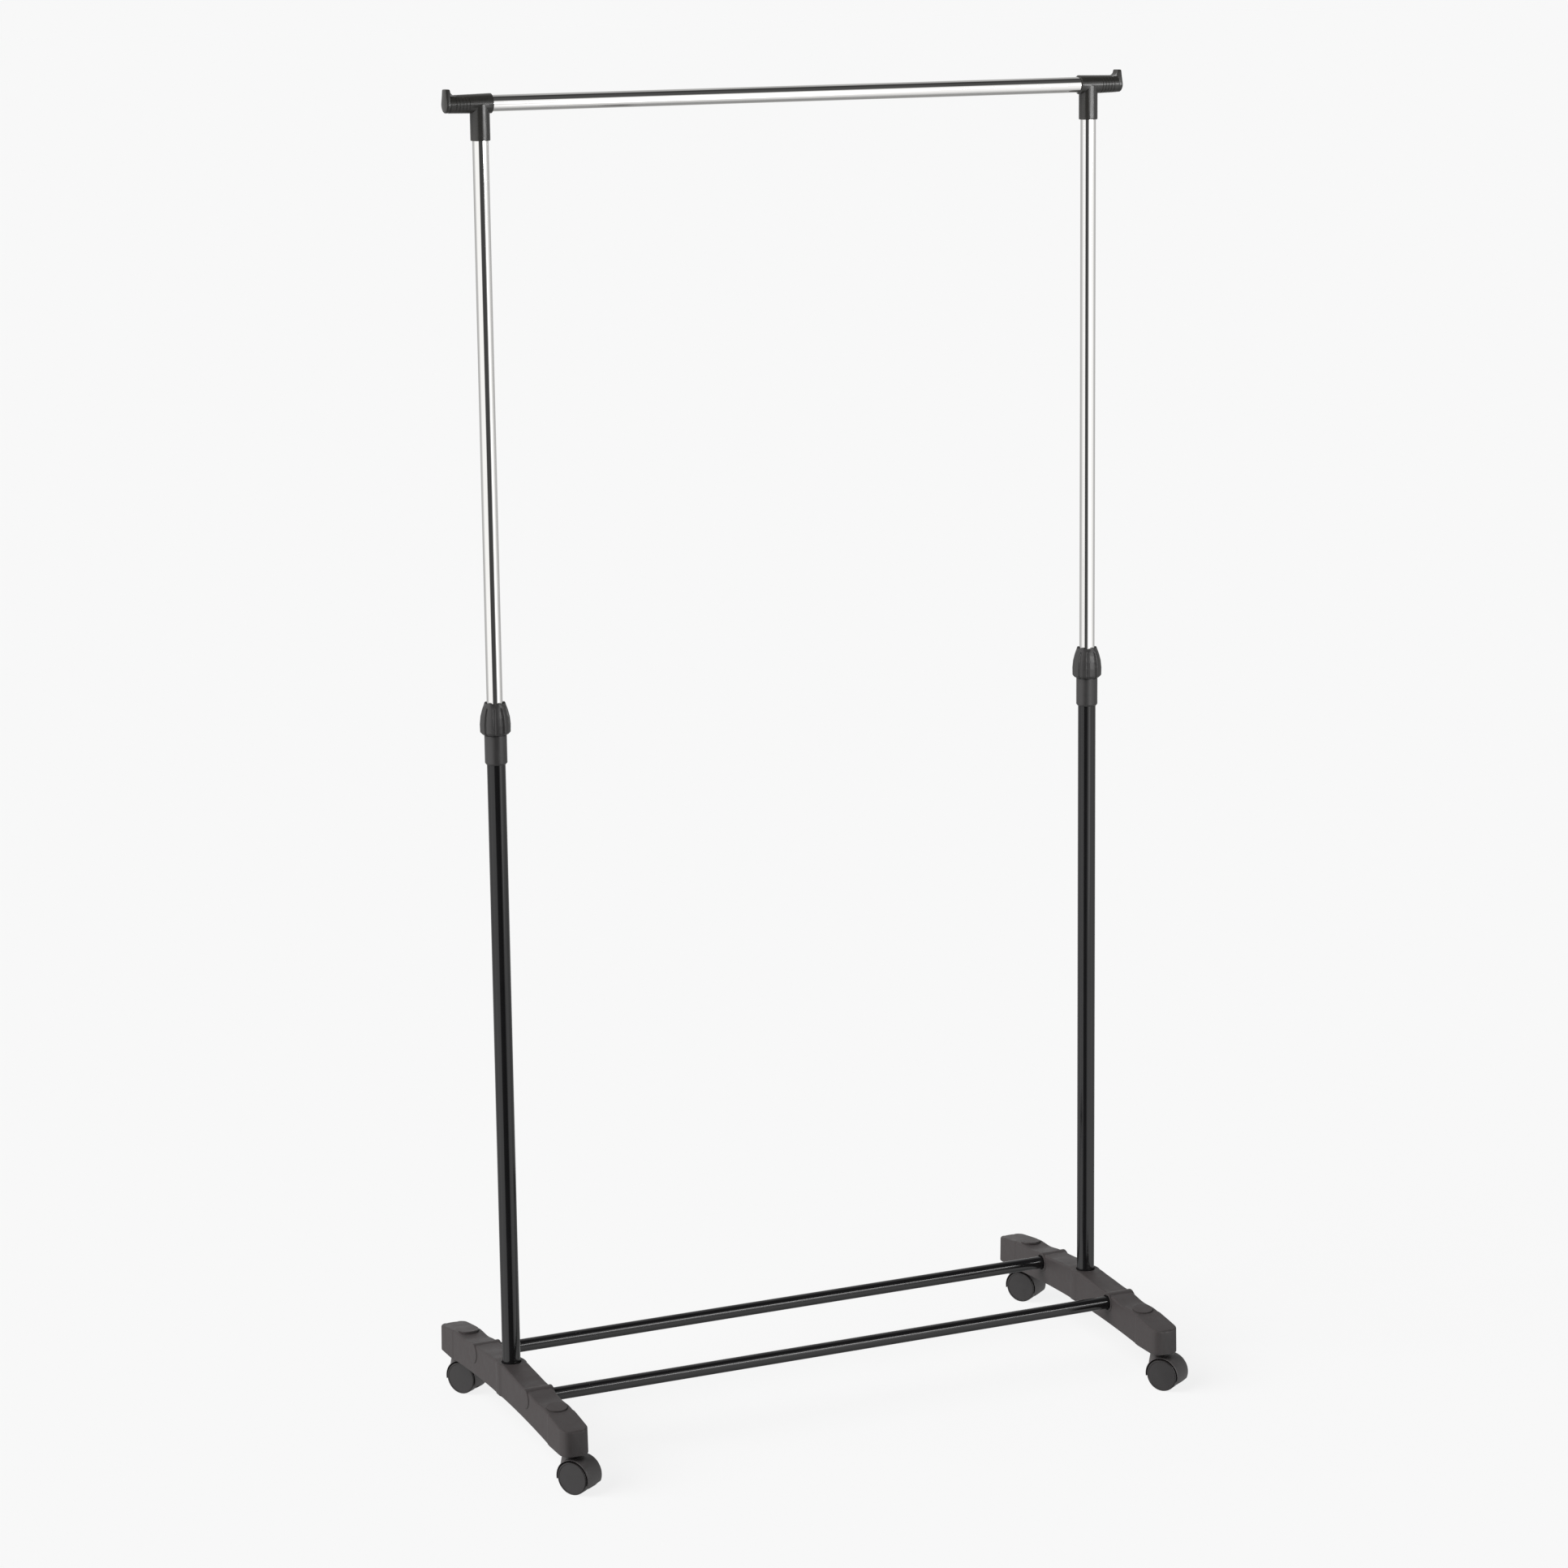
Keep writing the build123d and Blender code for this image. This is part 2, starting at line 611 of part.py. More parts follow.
for side_name, side in SIDES.items():
    upright_axis = Plane(origin=(side * upright_x, 0, 0))
    save(make_foot(side), f"{side_name}_foot")
    save(
        make_tube(upright_axis, hub_socket_bottom, lower_tube_top - hub_socket_bottom,
                  lower_tube_diameter, lower_tube_wall),
        f"{side_name}_lower_upright",
    )
    save(make_lock_sleeve(side), f"{side_name}_lock_sleeve")
    save(make_collet(side), f"{side_name}_collet")
    save(make_lock_knob(side), f"{side_name}_lock_knob")
    save(
        make_tube(upright_axis, upper_tube_bottom, upper_tube_top - upper_tube_bottom,
                  upper_tube_diameter, upper_tube_wall),
        f"{side_name}_upper_upright",
    )
    save(make_guide_bush(side), f"{side_name}_guide_bush")
    save(make_rail_connector(side), f"{side_name}_rail_connector")
    for end_name, end in ENDS.items():
        corner = f"{end_name}_{side_name}"
        save(make_plug_cap(side, end), f"{corner}_plug_cap")
        save(make_stem_socket(side, end), f"{corner}_stem_socket")
        save(make_caster_hood(side, end), f"{corner}_caster_hood")
        save(make_caster_stem(side, end), f"{corner}_caster_stem")
        save(make_caster_axle(side, end), f"{corner}_caster_axle")
        save(make_caster_wheel(side, end, side), f"{corner}_inner_wheel")
        save(make_caster_wheel(side, end, -side), f"{corner}_outer_wheel")

rail_half = upright_x + rail_overlap
rail_axis = Plane(origin=(0, 0, rail_height), x_dir=(0, 1, 0), z_dir=(1, 0, 0))
save(make_tube(rail_axis, -rail_half, 2 * rail_half, upper_tube_diameter, upper_tube_wall), "hang_rail")
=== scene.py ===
# %% [markdown]
# # A rolling clothes rack
# The rack is a chromed hanging rail on two telescopic uprights, with screw locks for the height,
# two moulded feet joined by two bars, and four hooded twin-wheel casters. The frame brings each
# piece's place and size in metres, so every piece below is built where its own box says.

# %% Load the frame
import json
from functools import partial
from math import cos, pi, radians, sin, sqrt, tan

import bmesh
import bpy
import numpy as np
from mathutils import Matrix, Vector


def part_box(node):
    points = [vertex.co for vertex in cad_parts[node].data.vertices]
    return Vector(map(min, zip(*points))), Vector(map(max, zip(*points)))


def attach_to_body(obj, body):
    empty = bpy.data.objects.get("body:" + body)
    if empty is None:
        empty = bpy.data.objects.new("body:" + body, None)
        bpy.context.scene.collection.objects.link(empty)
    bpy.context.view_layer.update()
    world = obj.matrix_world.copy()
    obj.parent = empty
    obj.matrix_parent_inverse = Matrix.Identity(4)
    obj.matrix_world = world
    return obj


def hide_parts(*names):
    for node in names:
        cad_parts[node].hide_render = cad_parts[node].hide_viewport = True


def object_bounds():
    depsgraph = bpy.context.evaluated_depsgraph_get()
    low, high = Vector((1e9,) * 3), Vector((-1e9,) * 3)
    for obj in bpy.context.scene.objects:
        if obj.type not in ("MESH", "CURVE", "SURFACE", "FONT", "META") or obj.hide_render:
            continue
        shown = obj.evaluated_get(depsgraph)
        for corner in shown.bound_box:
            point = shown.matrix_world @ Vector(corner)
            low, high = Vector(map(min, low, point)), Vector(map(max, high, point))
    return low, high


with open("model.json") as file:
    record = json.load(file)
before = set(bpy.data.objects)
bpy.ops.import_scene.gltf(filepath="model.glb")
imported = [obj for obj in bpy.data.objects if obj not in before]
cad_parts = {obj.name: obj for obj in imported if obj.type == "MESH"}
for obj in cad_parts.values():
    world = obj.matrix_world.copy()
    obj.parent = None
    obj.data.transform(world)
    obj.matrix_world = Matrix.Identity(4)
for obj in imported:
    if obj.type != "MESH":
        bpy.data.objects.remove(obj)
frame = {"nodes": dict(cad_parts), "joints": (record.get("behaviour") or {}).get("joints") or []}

MM = 0.001
X_AXIS, Z_AXIS = (1, 0, 0), (0, 0, 1)
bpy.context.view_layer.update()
joints = {joint["name"]: joint for joint in frame["joints"]}

# %% [markdown]
# ## Camera
# A long lens from the front left keeps the two uprights almost parallel. The camera stands a
# little higher than the rail and looks down at the rack, so that the tops of both feet show. Part
# of the way down comes from a lens shift, as a photographer does with tall things, and it is small
# enough that the whole rack fits the view from any other side too.

# %% Camera
FOCAL = 95.38
AZIMUTH, ELEVATION, ROLL = radians(24.277), radians(11.034), radians(-0.681)
DISTANCE = 5.0191
TARGET = Vector((-0.02217, 0.0, 0.84913))
LENS_SHIFT = -0.04     # the frame reaches a little further down than the lens points

camera_data = bpy.data.cameras.new("camera")
camera_data.lens = FOCAL
camera_data.shift_y = LENS_SHIFT
camera = bpy.data.objects.new("camera", camera_data)
bpy.context.scene.collection.objects.link(camera)
bpy.context.scene.camera = camera

look = Vector((sin(AZIMUTH) * cos(ELEVATION), cos(AZIMUTH) * cos(ELEVATION), -sin(ELEVATION)))
level = Vector((cos(AZIMUTH), -sin(AZIMUTH), 0))
upward = level.cross(look)
right = cos(ROLL) * level + sin(ROLL) * upward
up = -sin(ROLL) * level + cos(ROLL) * upward
turned = Matrix((right, up, -look)).transposed().to_4x4()
camera.matrix_world = Matrix.Translation(TARGET - look * DISTANCE) @ turned
print("camera at", [round(v, 3) for v in camera.matrix_world.translation])

# %% [markdown]
# ## Small helpers for nodes
# Colours are easier to compare as the hex values of a colour picker, but the renderer works with
# linear light, so one function converts them. Another one adds a node of any kind: each of its
# inputs is a value, or what another node gives out, which is what a link is.

# %% Colour and node helpers
MATH, RAMP = "ShaderNodeMath", "ShaderNodeMapRange"
TIMES, SMOOTH = {"operation": "MULTIPLY"}, {"interpolation_type": "SMOOTHSTEP"}


def linear(hex_colour):
    """sRGB hex to the linear RGBA that sockets take."""
    channels = [int(hex_colour[i:i + 2], 16) / 255 for i in (1, 3, 5)]
    return [c / 12.92 if c <= 0.04045 else ((c + 0.055) / 1.055) ** 2.4 for c in channels] + [1.0]


def add(tree, kind, inputs=None, **settings):
    """One new node. Each input is a value, a socket to link from, or a node to take the first from."""
    made = tree.nodes.new(kind)
    for name, value in settings.items():
        setattr(made, name, value)
    for key, value in (inputs or {}).items():
        if isinstance(value, bpy.types.Node):
            value = value.outputs[0]
        if isinstance(value, bpy.types.NodeSocket):
            tree.links.new(value, made.inputs[key])
        else:
            made.inputs[key].default_value = value
    return made


def new_material(name):
    """A material with an empty tree and its output node."""
    material = bpy.data.materials.new(name)
    material.use_nodes = True
    material.node_tree.nodes.clear()
    return material, material.node_tree, add(material.node_tree, "ShaderNodeOutputMaterial")


print("middle grey in linear light", [round(c, 3) for c in linear("#808080")])

# %% [markdown]
# ## Studio: floor, backdrop and light
# The rack stands on white paper in a white tent. The paper is lit through from below, so it is
# nearly as bright as the air behind it: there is no horizon, and shadows stay faint. Chrome shows
# what surrounds it, and a tent has an open front and a darker roof: without those dark parts a
# chromed tube looks like white plastic. A few area lights alone could light the rack, but then
# the tubes would mirror their edges. So the world gives three answers: plain white for the camera,
# even light for soft shading, and the tent with its roof for mirror reflections.

# %% Floor
PAPER = 0.06           # share of the light that the lit-through paper reflects
BACKDROP = 0.939       # linear value of the near-white behind the rack
LIGHT_ON_PAPER = 1.60  # the even light and the key light together
FLOOR_HALF = 60.0
FLOOR_GAP = 0.0001     # the wheels touch the floor without sinking in

paper, tree, out = new_material("white_background_paper")
shader = add(tree, "ShaderNodeBsdfPrincipled", {
    "Base Color": (PAPER, PAPER, PAPER, 1), "Roughness": 0.9, "Specular IOR Level": 0.0,
    "Emission Color": (1, 1, 1, 1), "Emission Strength": BACKDROP - PAPER * LIGHT_ON_PAPER})
tree.links.new(shader.outputs["BSDF"], out.inputs["Surface"])

floor_mesh = bpy.data.meshes.new("paper_floor")
floor_corners = [(x * FLOOR_HALF, y * FLOOR_HALF, 0) for x, y in ((-1, -1), (1, -1), (1, 1), (-1, 1))]
floor_mesh.from_pydata(floor_corners, [], [(0, 1, 2, 3)])
floor_mesh.materials.append(paper)
paper_floor = bpy.data.objects.new("paper_floor", floor_mesh)
bpy.context.scene.collection.objects.link(paper_floor)
paper_floor.location.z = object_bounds()[0][2] - FLOOR_GAP
paper_floor.visible_glossy = False      # mirrors show the tent's own ground instead
print("floor at", round(paper_floor.location.z, 5))

# %% World
EVEN_LIGHT = 0.35
ROOF_LIGHT, WALL_LIGHT, GROUND_LIGHT = 0.08, 1.08, 0.60
ROOF_RISE = (0.36, 0.56)       # sine of the height where the tent's dark roof begins and is full
ROOF_FRONT = (0.36, 0.14)      # the roof stays light behind the rack, and is dark in front of this
GROUND_DROP = (-0.50, -0.90)   # the ground darkens straight below
# Walls from straight behind the rack, 0, round to the camera's side, 1: dimmer at the sides.
DIM_WALLS = ((0.05, 0.5), (0.2, 0.42), (0.35, 0.55), (0.47, 0.6))
FULL_WALL = 0.58

world = bpy.data.worlds.new("white_tent")
bpy.context.scene.world = world
world.use_nodes = True
tree = world.node_tree
tree.nodes.clear()
direction = add(tree, "ShaderNodeTexCoord").outputs["Generated"]
parts = add(tree, "ShaderNodeSeparateXYZ", {"Vector": direction}).outputs
roof = add(tree, RAMP, {"Value": parts["Z"], "From Min": ROOF_RISE[0], "From Max": ROOF_RISE[1]}, **SMOOTH)
front = add(tree, RAMP, {"Value": parts["Y"], "From Min": ROOF_FRONT[0], "From Max": ROOF_FRONT[1]}, **SMOOTH)
dark = add(tree, MATH, {0: roof, 1: front}, **TIMES)
ground = add(tree, RAMP, {"Value": parts["Z"], "From Min": GROUND_DROP[0], "From Max": GROUND_DROP[1],
                          "To Min": WALL_LIGHT, "To Max": GROUND_LIGHT})
tent = add(tree, "ShaderNodeMix", {"Factor": dark, "A": ground, "B": ROOF_LIGHT}, data_type="FLOAT")

facing = add(tree, "ShaderNodeVectorMath", {0: direction, 1: (-sin(AZIMUTH), -cos(AZIMUTH), 0)},
             operation="DOT_PRODUCT").outputs["Value"]
side_walls = add(tree, "ShaderNodeValToRGB", {"Fac": add(tree, RAMP, {"Value": facing, "From Min": -1.0})})
stops = side_walls.color_ramp.elements
stops[0].position, stops[0].color = 0.0, (1, 1, 1, 1)
stops[1].position, stops[1].color = FULL_WALL, (1, 1, 1, 1)
for position, light in DIM_WALLS:
    stops.new(position).color = (light, light, light, 1)
tent = add(tree, MATH, {0: tent, 1: side_walls}, **TIMES)

rays = add(tree, "ShaderNodeLightPath").outputs
soft = add(tree, "ShaderNodeMix", {"Factor": rays["Is Glossy Ray"], "A": EVEN_LIGHT, "B": tent},
           data_type="FLOAT")
seen = add(tree, "ShaderNodeMix", {"Factor": rays["Is Camera Ray"], "A": soft, "B": BACKDROP},
           data_type="FLOAT")
background = add(tree, "ShaderNodeBackground", {"Color": seen, "Strength": 1.0})
tree.links.new(background.outputs["Background"], add(tree, "ShaderNodeOutputWorld").inputs["Surface"])
bpy.context.scene.view_settings.view_transform = "Standard"
print("world nodes", len(tree.nodes), "wall stops", len(stops))

# %% Key light
# The even light is the same from all sides. A wide sun from the left adds the rest, so that round
# things have a lit side and a shaded one.
KEY_WIDTH = radians(50)

key_data = bpy.data.lights.new("soft_key", "SUN")
key_data.angle = KEY_WIDTH
key_from = Vector((-0.90, 0.02, 0.78)).normalized()
key_data.energy = (LIGHT_ON_PAPER - EVEN_LIGHT) * pi / key_from.z
key = bpy.data.objects.new("soft_key", key_data)
bpy.context.scene.collection.objects.link(key)
key.rotation_euler = key_from.to_track_quat("Z", "Y").to_euler()
key.visible_glossy = False
print("key light", round(key_data.energy, 3))

# %% [markdown]
# ## Opening, softbox and strip light
# A tent has an opening on the camera's side, which a shiny tube shows as a dark line between light
# ones. Real cards round the rack would do that, but they would also shade the floor. These cards
# are seen by mirror rays only. Their edges fade, as cloth and the edge of a softbox do. The dark
# opening hides what is behind it, and a light adds to it.

# %% Opening, softbox and strip light
def mirror_card(name, light, start, end, fade_start, fade_end, low, high, ahead, turn=0.0):
    """Upright card from start to end, in metres to the right of its middle, as far ahead as asked.

    The card faces the rack from the camera's side, or from a place turned round to the right.
    """
    material, tree, out = new_material(name)
    place = add(tree, "ShaderNodeTexCoord").outputs["Object"]
    across = add(tree, "ShaderNodeSeparateXYZ", {"Vector": place}).outputs["X"]
    covers = [add(tree, RAMP, {"Value": across, "From Min": edge, "From Max": full}, **SMOOTH)
              for edge, full in ((start, start + fade_start), (end, end - fade_end))]
    cover = add(tree, MATH, {0: covers[0], 1: covers[1]}, **TIMES)
    clear = add(tree, "ShaderNodeBsdfTransparent")
    if light < 1:
        glow = add(tree, "ShaderNodeEmission", {"Color": (light, light, light, 1), "Strength": 1.0})
        seen = add(tree, "ShaderNodeMixShader", {0: cover, 1: clear, 2: glow})
    else:
        strength = add(tree, MATH, {0: cover, 1: light}, **TIMES)
        glow = add(tree, "ShaderNodeEmission", {"Color": (1, 1, 1, 1), "Strength": strength})
        seen = add(tree, "ShaderNodeAddShader", {0: clear, 1: glow})
    tree.links.new(seen.outputs[0], out.inputs["Surface"])

    mesh = bpy.data.meshes.new(name)
    mesh.from_pydata([(start, 0, low), (end, 0, low), (end, 0, high), (start, 0, high)], [], [(0, 1, 2, 3)])
    mesh.materials.append(material)
    card = bpy.data.objects.new(name, mesh)
    bpy.context.scene.collection.objects.link(card)
    heading = AZIMUTH - turn
    card.location = Vector((-sin(heading), -cos(heading), 0)) * ahead
    card.rotation_euler.z = -heading
    for kind in ("camera", "diffuse", "shadow", "transmission", "volume_scatter"):
        setattr(card, "visible_" + kind, False)
    print(name, "light", light, "from", start, "to", end, "m")


CARDS_AHEAD, STRIP_AHEAD = 1.15, 3.0
mirror_card("tent_opening", light=0.06, start=-0.86, end=0.80, fade_start=0.22, fade_end=0.56,
            low=-3.0, high=4.0, ahead=CARDS_AHEAD)
mirror_card("front_softbox", light=1.0, start=0.75, end=1.75, fade_start=0.3, fade_end=0.3,
            low=0.2, high=2.0, ahead=CARDS_AHEAD)
mirror_card("strip_light", light=9.0, start=-1.3, end=1.3, fade_start=0.3, fade_end=0.3,
            low=1.35, high=1.8, ahead=STRIP_AHEAD, turn=2 * AZIMUTH)

# %% [markdown]
# ## Finishes
# Each finish starts from its material and how the surface was made. Patterns read Object
# coordinates, which are metres here, so a noise scale is one over the size of its grain. An image
# texture would need a map for every piece, and noise in space needs none. The same recipe serves
# all of them: a colour that drifts a little, a roughness that drifts with it, and a bump for the
# grain. Only the numbers differ.

# %% Finish recipe
def grain(tree, size_mm, detail=2.0):
    """Noise whose features are about size_mm across."""
    place = add(tree, "ShaderNodeTexCoord").outputs["Object"]
    placed = add(tree, "ShaderNodeMapping", {"Vector": place})
    return add(tree, "ShaderNodeTexNoise", {"Vector": placed, "Scale": 1 / (size_mm * MM),
                                            "Detail": detail, "Roughness": 0.55}).outputs["Fac"]


def make_finish(name, colours, metallic, roughness, drift_mm, grain_mm, grain_height_mm, ior=None):
    """A finish with drifting colour and roughness over a fine bump."""
    material, tree, out = new_material(name)
    drift = grain(tree, drift_mm, 3.0)
    mix = add(tree, "ShaderNodeMix", {"Factor": drift, "A": linear(colours[0]), "B": linear(colours[1])},
              data_type="RGBA")
    rough = add(tree, RAMP, {"Value": drift, "From Min": 0.3, "From Max": 0.7,
                             "To Min": roughness[0], "To Max": roughness[1]})
    bump = add(tree, "ShaderNodeBump", {"Height": grain(tree, grain_mm), "Strength": 1.0,
                                        "Distance": grain_height_mm * MM})
    shader = add(tree, "ShaderNodeBsdfPrincipled", {"Base Color": mix.outputs[2], "Metallic": metallic,
                                                   "Roughness": rough, "Normal": bump})
    if ior:
        shader.inputs["IOR"].default_value = ior
    tree.links.new(shader.outputs["BSDF"], out.inputs["Surface"])
    print(name, "metallic", metallic, "roughness", roughness)
    return material


# %% [markdown]
# ## Metals
# - Chrome over polished steel tube: a neutral mirror. Drawing leaves faint long waves, and hands
#   leave a slight haze.
# - Black powder coat: a thick baked paint, glossy, with a soft orange peel a few millimetres wide.
# - Zinc plating on the pins: dull silver.

# %% Metal finishes
chrome_plated_steel = make_finish(
    "chrome_plated_steel", ("#f2f1ef", "#ebeae8"), metallic=1.0, roughness=(0.035, 0.075),
    drift_mm=60, grain_mm=9, grain_height_mm=0.0012)
powder_coated_steel = make_finish(
    "powder_coated_steel", ("#0d0d0e", "#121112"), metallic=0.0, roughness=(0.10, 0.17),
    drift_mm=30, grain_mm=2.5, grain_height_mm=0.0022, ior=1.5)
zinc_plated_steel = make_finish(
    "zinc_plated_steel", ("#a9a8a3", "#b9b7b2"), metallic=1.0, roughness=(0.3, 0.42),
    drift_mm=6, grain_mm=0.6, grain_height_mm=0.004)

# %% [markdown]
# ## Moulded plastics
# - The feet are polypropylene from an eroded mould: a fine leathery grain of about half a
#   millimetre that scatters light, so black pigment looks warm grey.
# - Connectors are polished ABS: nearly black with broad shiny streaks.
# - Locks are satin ABS, with a silky highlight along each groove.
# - Hoods are nylon, a shade greyer than the locks. Wheels are a blacker nylon, dulled by rolling.
# - Bushes and sockets are acetal, which slides well and has a waxy shine.

# %% Plastic finishes
grained_polypropylene = make_finish(
    "grained_polypropylene", ("#2a2727", "#322e2e"), metallic=0.0, roughness=(0.5, 0.62),
    drift_mm=14, grain_mm=0.55, grain_height_mm=0.045, ior=1.49)
polished_abs = make_finish(
    "polished_abs", ("#242321", "#2b2a28"), metallic=0.0, roughness=(0.22, 0.3),
    drift_mm=12, grain_mm=1.6, grain_height_mm=0.003, ior=1.54)
satin_abs = make_finish(
    "satin_abs", ("#272626", "#2e2d2d"), metallic=0.0, roughness=(0.34, 0.44),
    drift_mm=9, grain_mm=0.5, grain_height_mm=0.012, ior=1.54)
moulded_nylon = make_finish(
    "moulded_nylon", ("#383636", "#403d3d"), metallic=0.0, roughness=(0.38, 0.5),
    drift_mm=8, grain_mm=0.5, grain_height_mm=0.015, ior=1.53)
wheel_nylon = make_finish(
    "wheel_nylon", ("#181617", "#1e1c1c"), metallic=0.0, roughness=(0.36, 0.46),
    drift_mm=8, grain_mm=0.6, grain_height_mm=0.012, ior=1.53)
natural_acetal = make_finish(
    "natural_acetal", ("#2b2a2a", "#323131"), metallic=0.0, roughness=(0.32, 0.4),
    drift_mm=8, grain_mm=0.6, grain_height_mm=0.008, ior=1.48)

# %% [markdown]
# ## Turned shapes
# Tubes, sleeves, knobs and wheels are round. A ready-made cylinder has no wall and a knife-sharp
# edge, and a screw modifier leaves the poles to be closed, so one helper turns an outline around
# an axis. The outline is a closed loop of corners given as radius, height and rounding. Rounded
# corners matter more than they seem to: no moulded or cut edge is perfectly sharp, and the thin
# highlight that a rounded edge catches is what makes it look real.

# %% Rounded outline
def rounded(corners, steps=4):
    """Closed outline from (radius, height, rounding) corners, each rounding drawn as an arc."""
    loop = []
    for i, (r, h, size) in enumerate(corners):
        here = Vector((r, h))
        if size == 0:
            loop.append(here)
            continue
        before = (Vector(corners[i - 1][:2]) - here).normalized()
        after = (Vector(corners[(i + 1) % len(corners)][:2]) - here).normalized()
        half = before.angle(after) / 2
        reach = size / tan(half)
        centre = here + (before + after).normalized() * (size / sin(half))
        first, last = here + before * reach - centre, here + after * reach - centre
        for k in range(steps + 1):
            loop.append(centre + first.slerp(last, k / steps).normalized() * size)
    return loop


def held(loop, near=0.5 * MM, long=3 * MM):
    """Extra points near the ends of long straight runs, so that the rounding next to them does not
    tilt the smooth shading of the whole run."""
    kept = []
    for here, after in zip(loop, loop[1:] + loop[:1]):
        run = after - here
        kept.append(here)
        if run.length > long:
            kept += [here + run.normalized() * near, after - run.normalized() * near]
    return kept


square = rounded([(0, 0, MM), (10 * MM, 0, MM), (10 * MM, 10 * MM, MM), (0, 10 * MM, MM)])
print("a rounded square has", len(square), "points, and held", len(held(square)))

# %% Turning an outline
ON_AXIS = 1e-6
MERGE = 1e-7


def basis(axis, origin):
    """Matrix that takes local Z to the axis and the local origin to a point."""
    return Matrix.Translation(origin) @ Vector(axis).to_track_quat("Z", "Y").to_matrix().to_4x4()


def outward(mesh, merge=MERGE):
    """Merges a closed mesh's doubles and turns its faces to point out."""
    work = bmesh.new()
    work.from_mesh(mesh)
    bmesh.ops.remove_doubles(work, verts=work.verts, dist=merge)
    bmesh.ops.recalc_face_normals(work, faces=work.faces)
    work.to_mesh(mesh)
    work.free()


def lathe_mesh(name, loop, steps=96):
    """Closed outline turned around local Z. A point on the axis becomes one vertex."""
    verts, rings = [], []
    loop = held([Vector(point) for point in loop])
    for point in loop:
        if point.x < ON_AXIS:
            rings.append([len(verts)])
            verts.append((0, 0, point.y))
        else:
            rings.append(list(range(len(verts), len(verts) + steps)))
            verts += [(point.x * cos(2 * pi * k / steps), point.x * sin(2 * pi * k / steps), point.y)
                      for k in range(steps)]
    faces = []
    for low, high in zip(rings, rings[1:] + rings[:1]):
        if len(low) == 1 and len(high) == 1:
            continue
        for k in range(steps):
            n = (k + 1) % steps
            quad = [low[k % len(low)], low[n % len(low)], high[n % len(high)], high[k % len(high)]]
            faces.append([v for i, v in enumerate(quad) if v not in quad[:i]])
    mesh = bpy.data.meshes.new(name)
    mesh.from_pydata(verts, [], faces)
    outward(mesh)
    return mesh


trial = lathe_mesh("trial", [(5 * MM, 0), (6 * MM, 0), (6 * MM, 2 * MM), (5 * MM, 2 * MM)], 24)
print("a ring of 24 steps has", len(trial.polygons), "faces")
bpy.data.meshes.remove(trial)

# %% Finishing a mesh and handing it over
SHARP = 32      # degrees between two faces from which their edge is a real one


def finish_mesh(name, mesh, material, sharp=SHARP):
    """Object for a mesh: its material, rounded parts smooth, real edges sharp."""
    mesh.materials.clear()
    mesh.materials.append(material)
    mesh.polygons.foreach_set("use_smooth", [True] * len(mesh.polygons))
    mesh.set_sharp_from_angle(angle=radians(sharp))
    mesh.update()
    return plain_object(name, mesh)


def plain_object(name, mesh):
    """Object for a mesh, with nothing added."""
    made = bpy.data.objects.new(name, mesh)
    bpy.context.scene.collection.objects.link(made)
    return made


def attach(piece, body, slot, *nodes):
    """The piece rides on a body and stands for its CAD nodes, which it hides. The slot argument is not used."""
    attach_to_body(piece, body)
    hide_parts(*nodes)
    print(piece.name, "faces", len(piece.data.polygons), "for", nodes)


# %% Places and sizes from the frame
def size_of(node):
    """Length, depth and height of a node's box."""
    low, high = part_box(node)
    return high - low


def middle_of(node):
    """Middle of a node's box."""
    low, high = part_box(node)
    return (low + high) / 2


def upright_at(node):
    """Middle of a box, as a point on the floor."""
    low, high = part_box(node)
    return Vector(((low.x + high.x) / 2, (low.y + high.y) / 2, 0))


print("rail is", round(size_of("hang_rail").x, 4), "m long,", round(middle_of("hang_rail").z, 4), "m up")

# %% [markdown]
# ## Tubes
# All the tubes on the rack are the same shape: a long wall with two cut ends. A curve with a bevel
# would draw one quickly, but it has no wall to look into. Each is turned: it takes its length and
# diameter from its box, its wall from what such tube is sold in, and its cut ends get the small
# deburred edge that a saw and a file leave.

# %% Tubes
THIN_WALL, THICK_WALL = 0.8 * MM, 1.0 * MM
DEBUR = 0.15 * MM
TUBE_STEPS = 128


def make_tube(node, axis_index, wall, material):
    """Tube along one axis of its box."""
    low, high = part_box(node)
    half = (high[axis_index] - low[axis_index]) / 2
    across = (axis_index + 1) % 3
    outer = (high[across] - low[across]) / 2
    inner = outer - wall
    loop = rounded([(inner, -half, DEBUR), (outer, -half, DEBUR), (outer, half, DEBUR),
                    (inner, half, DEBUR)], 2)
    mesh = lathe_mesh(node, loop, TUBE_STEPS)
    axis = [0, 0, 0]
    axis[axis_index] = 1
    mesh.transform(basis(axis, middle_of(node)))
    return finish_mesh(node + "_tube", mesh, material)


attach(make_tube("hang_rail", 0, THIN_WALL, chrome_plated_steel), "upper_frame", "chrome_tube", "hang_rail")
for end in ("front", "rear"):
    bar = make_tube(f"{end}_crossbar", 0, THIN_WALL, powder_coated_steel)
    attach(bar, "base", "black_tube", f"{end}_crossbar")
for side in ("left", "right"):
    upper = make_tube(f"{side}_upper_upright", 2, THIN_WALL, chrome_plated_steel)
    attach(upper, "upper_frame", "chrome_tube", f"{side}_upper_upright")
    lower = make_tube(f"{side}_lower_upright", 2, THICK_WALL, powder_coated_steel)
    attach(lower, "base", "black_tube", f"{side}_lower_upright")

# %% [markdown]
# ## Height lock
# A sleeve is pressed over the lower tube, and a fluted knob screws down on it to squeeze a split
# collet onto the upper tube. The sleeve is turned. The knob's ten finger grooves could be cut one
# by one, but they follow one rule, the same groove every 36 degrees, so Geometry Nodes press them
# into the turned blank: each point moves towards the axis by an amount that depends on its angle
# and height.

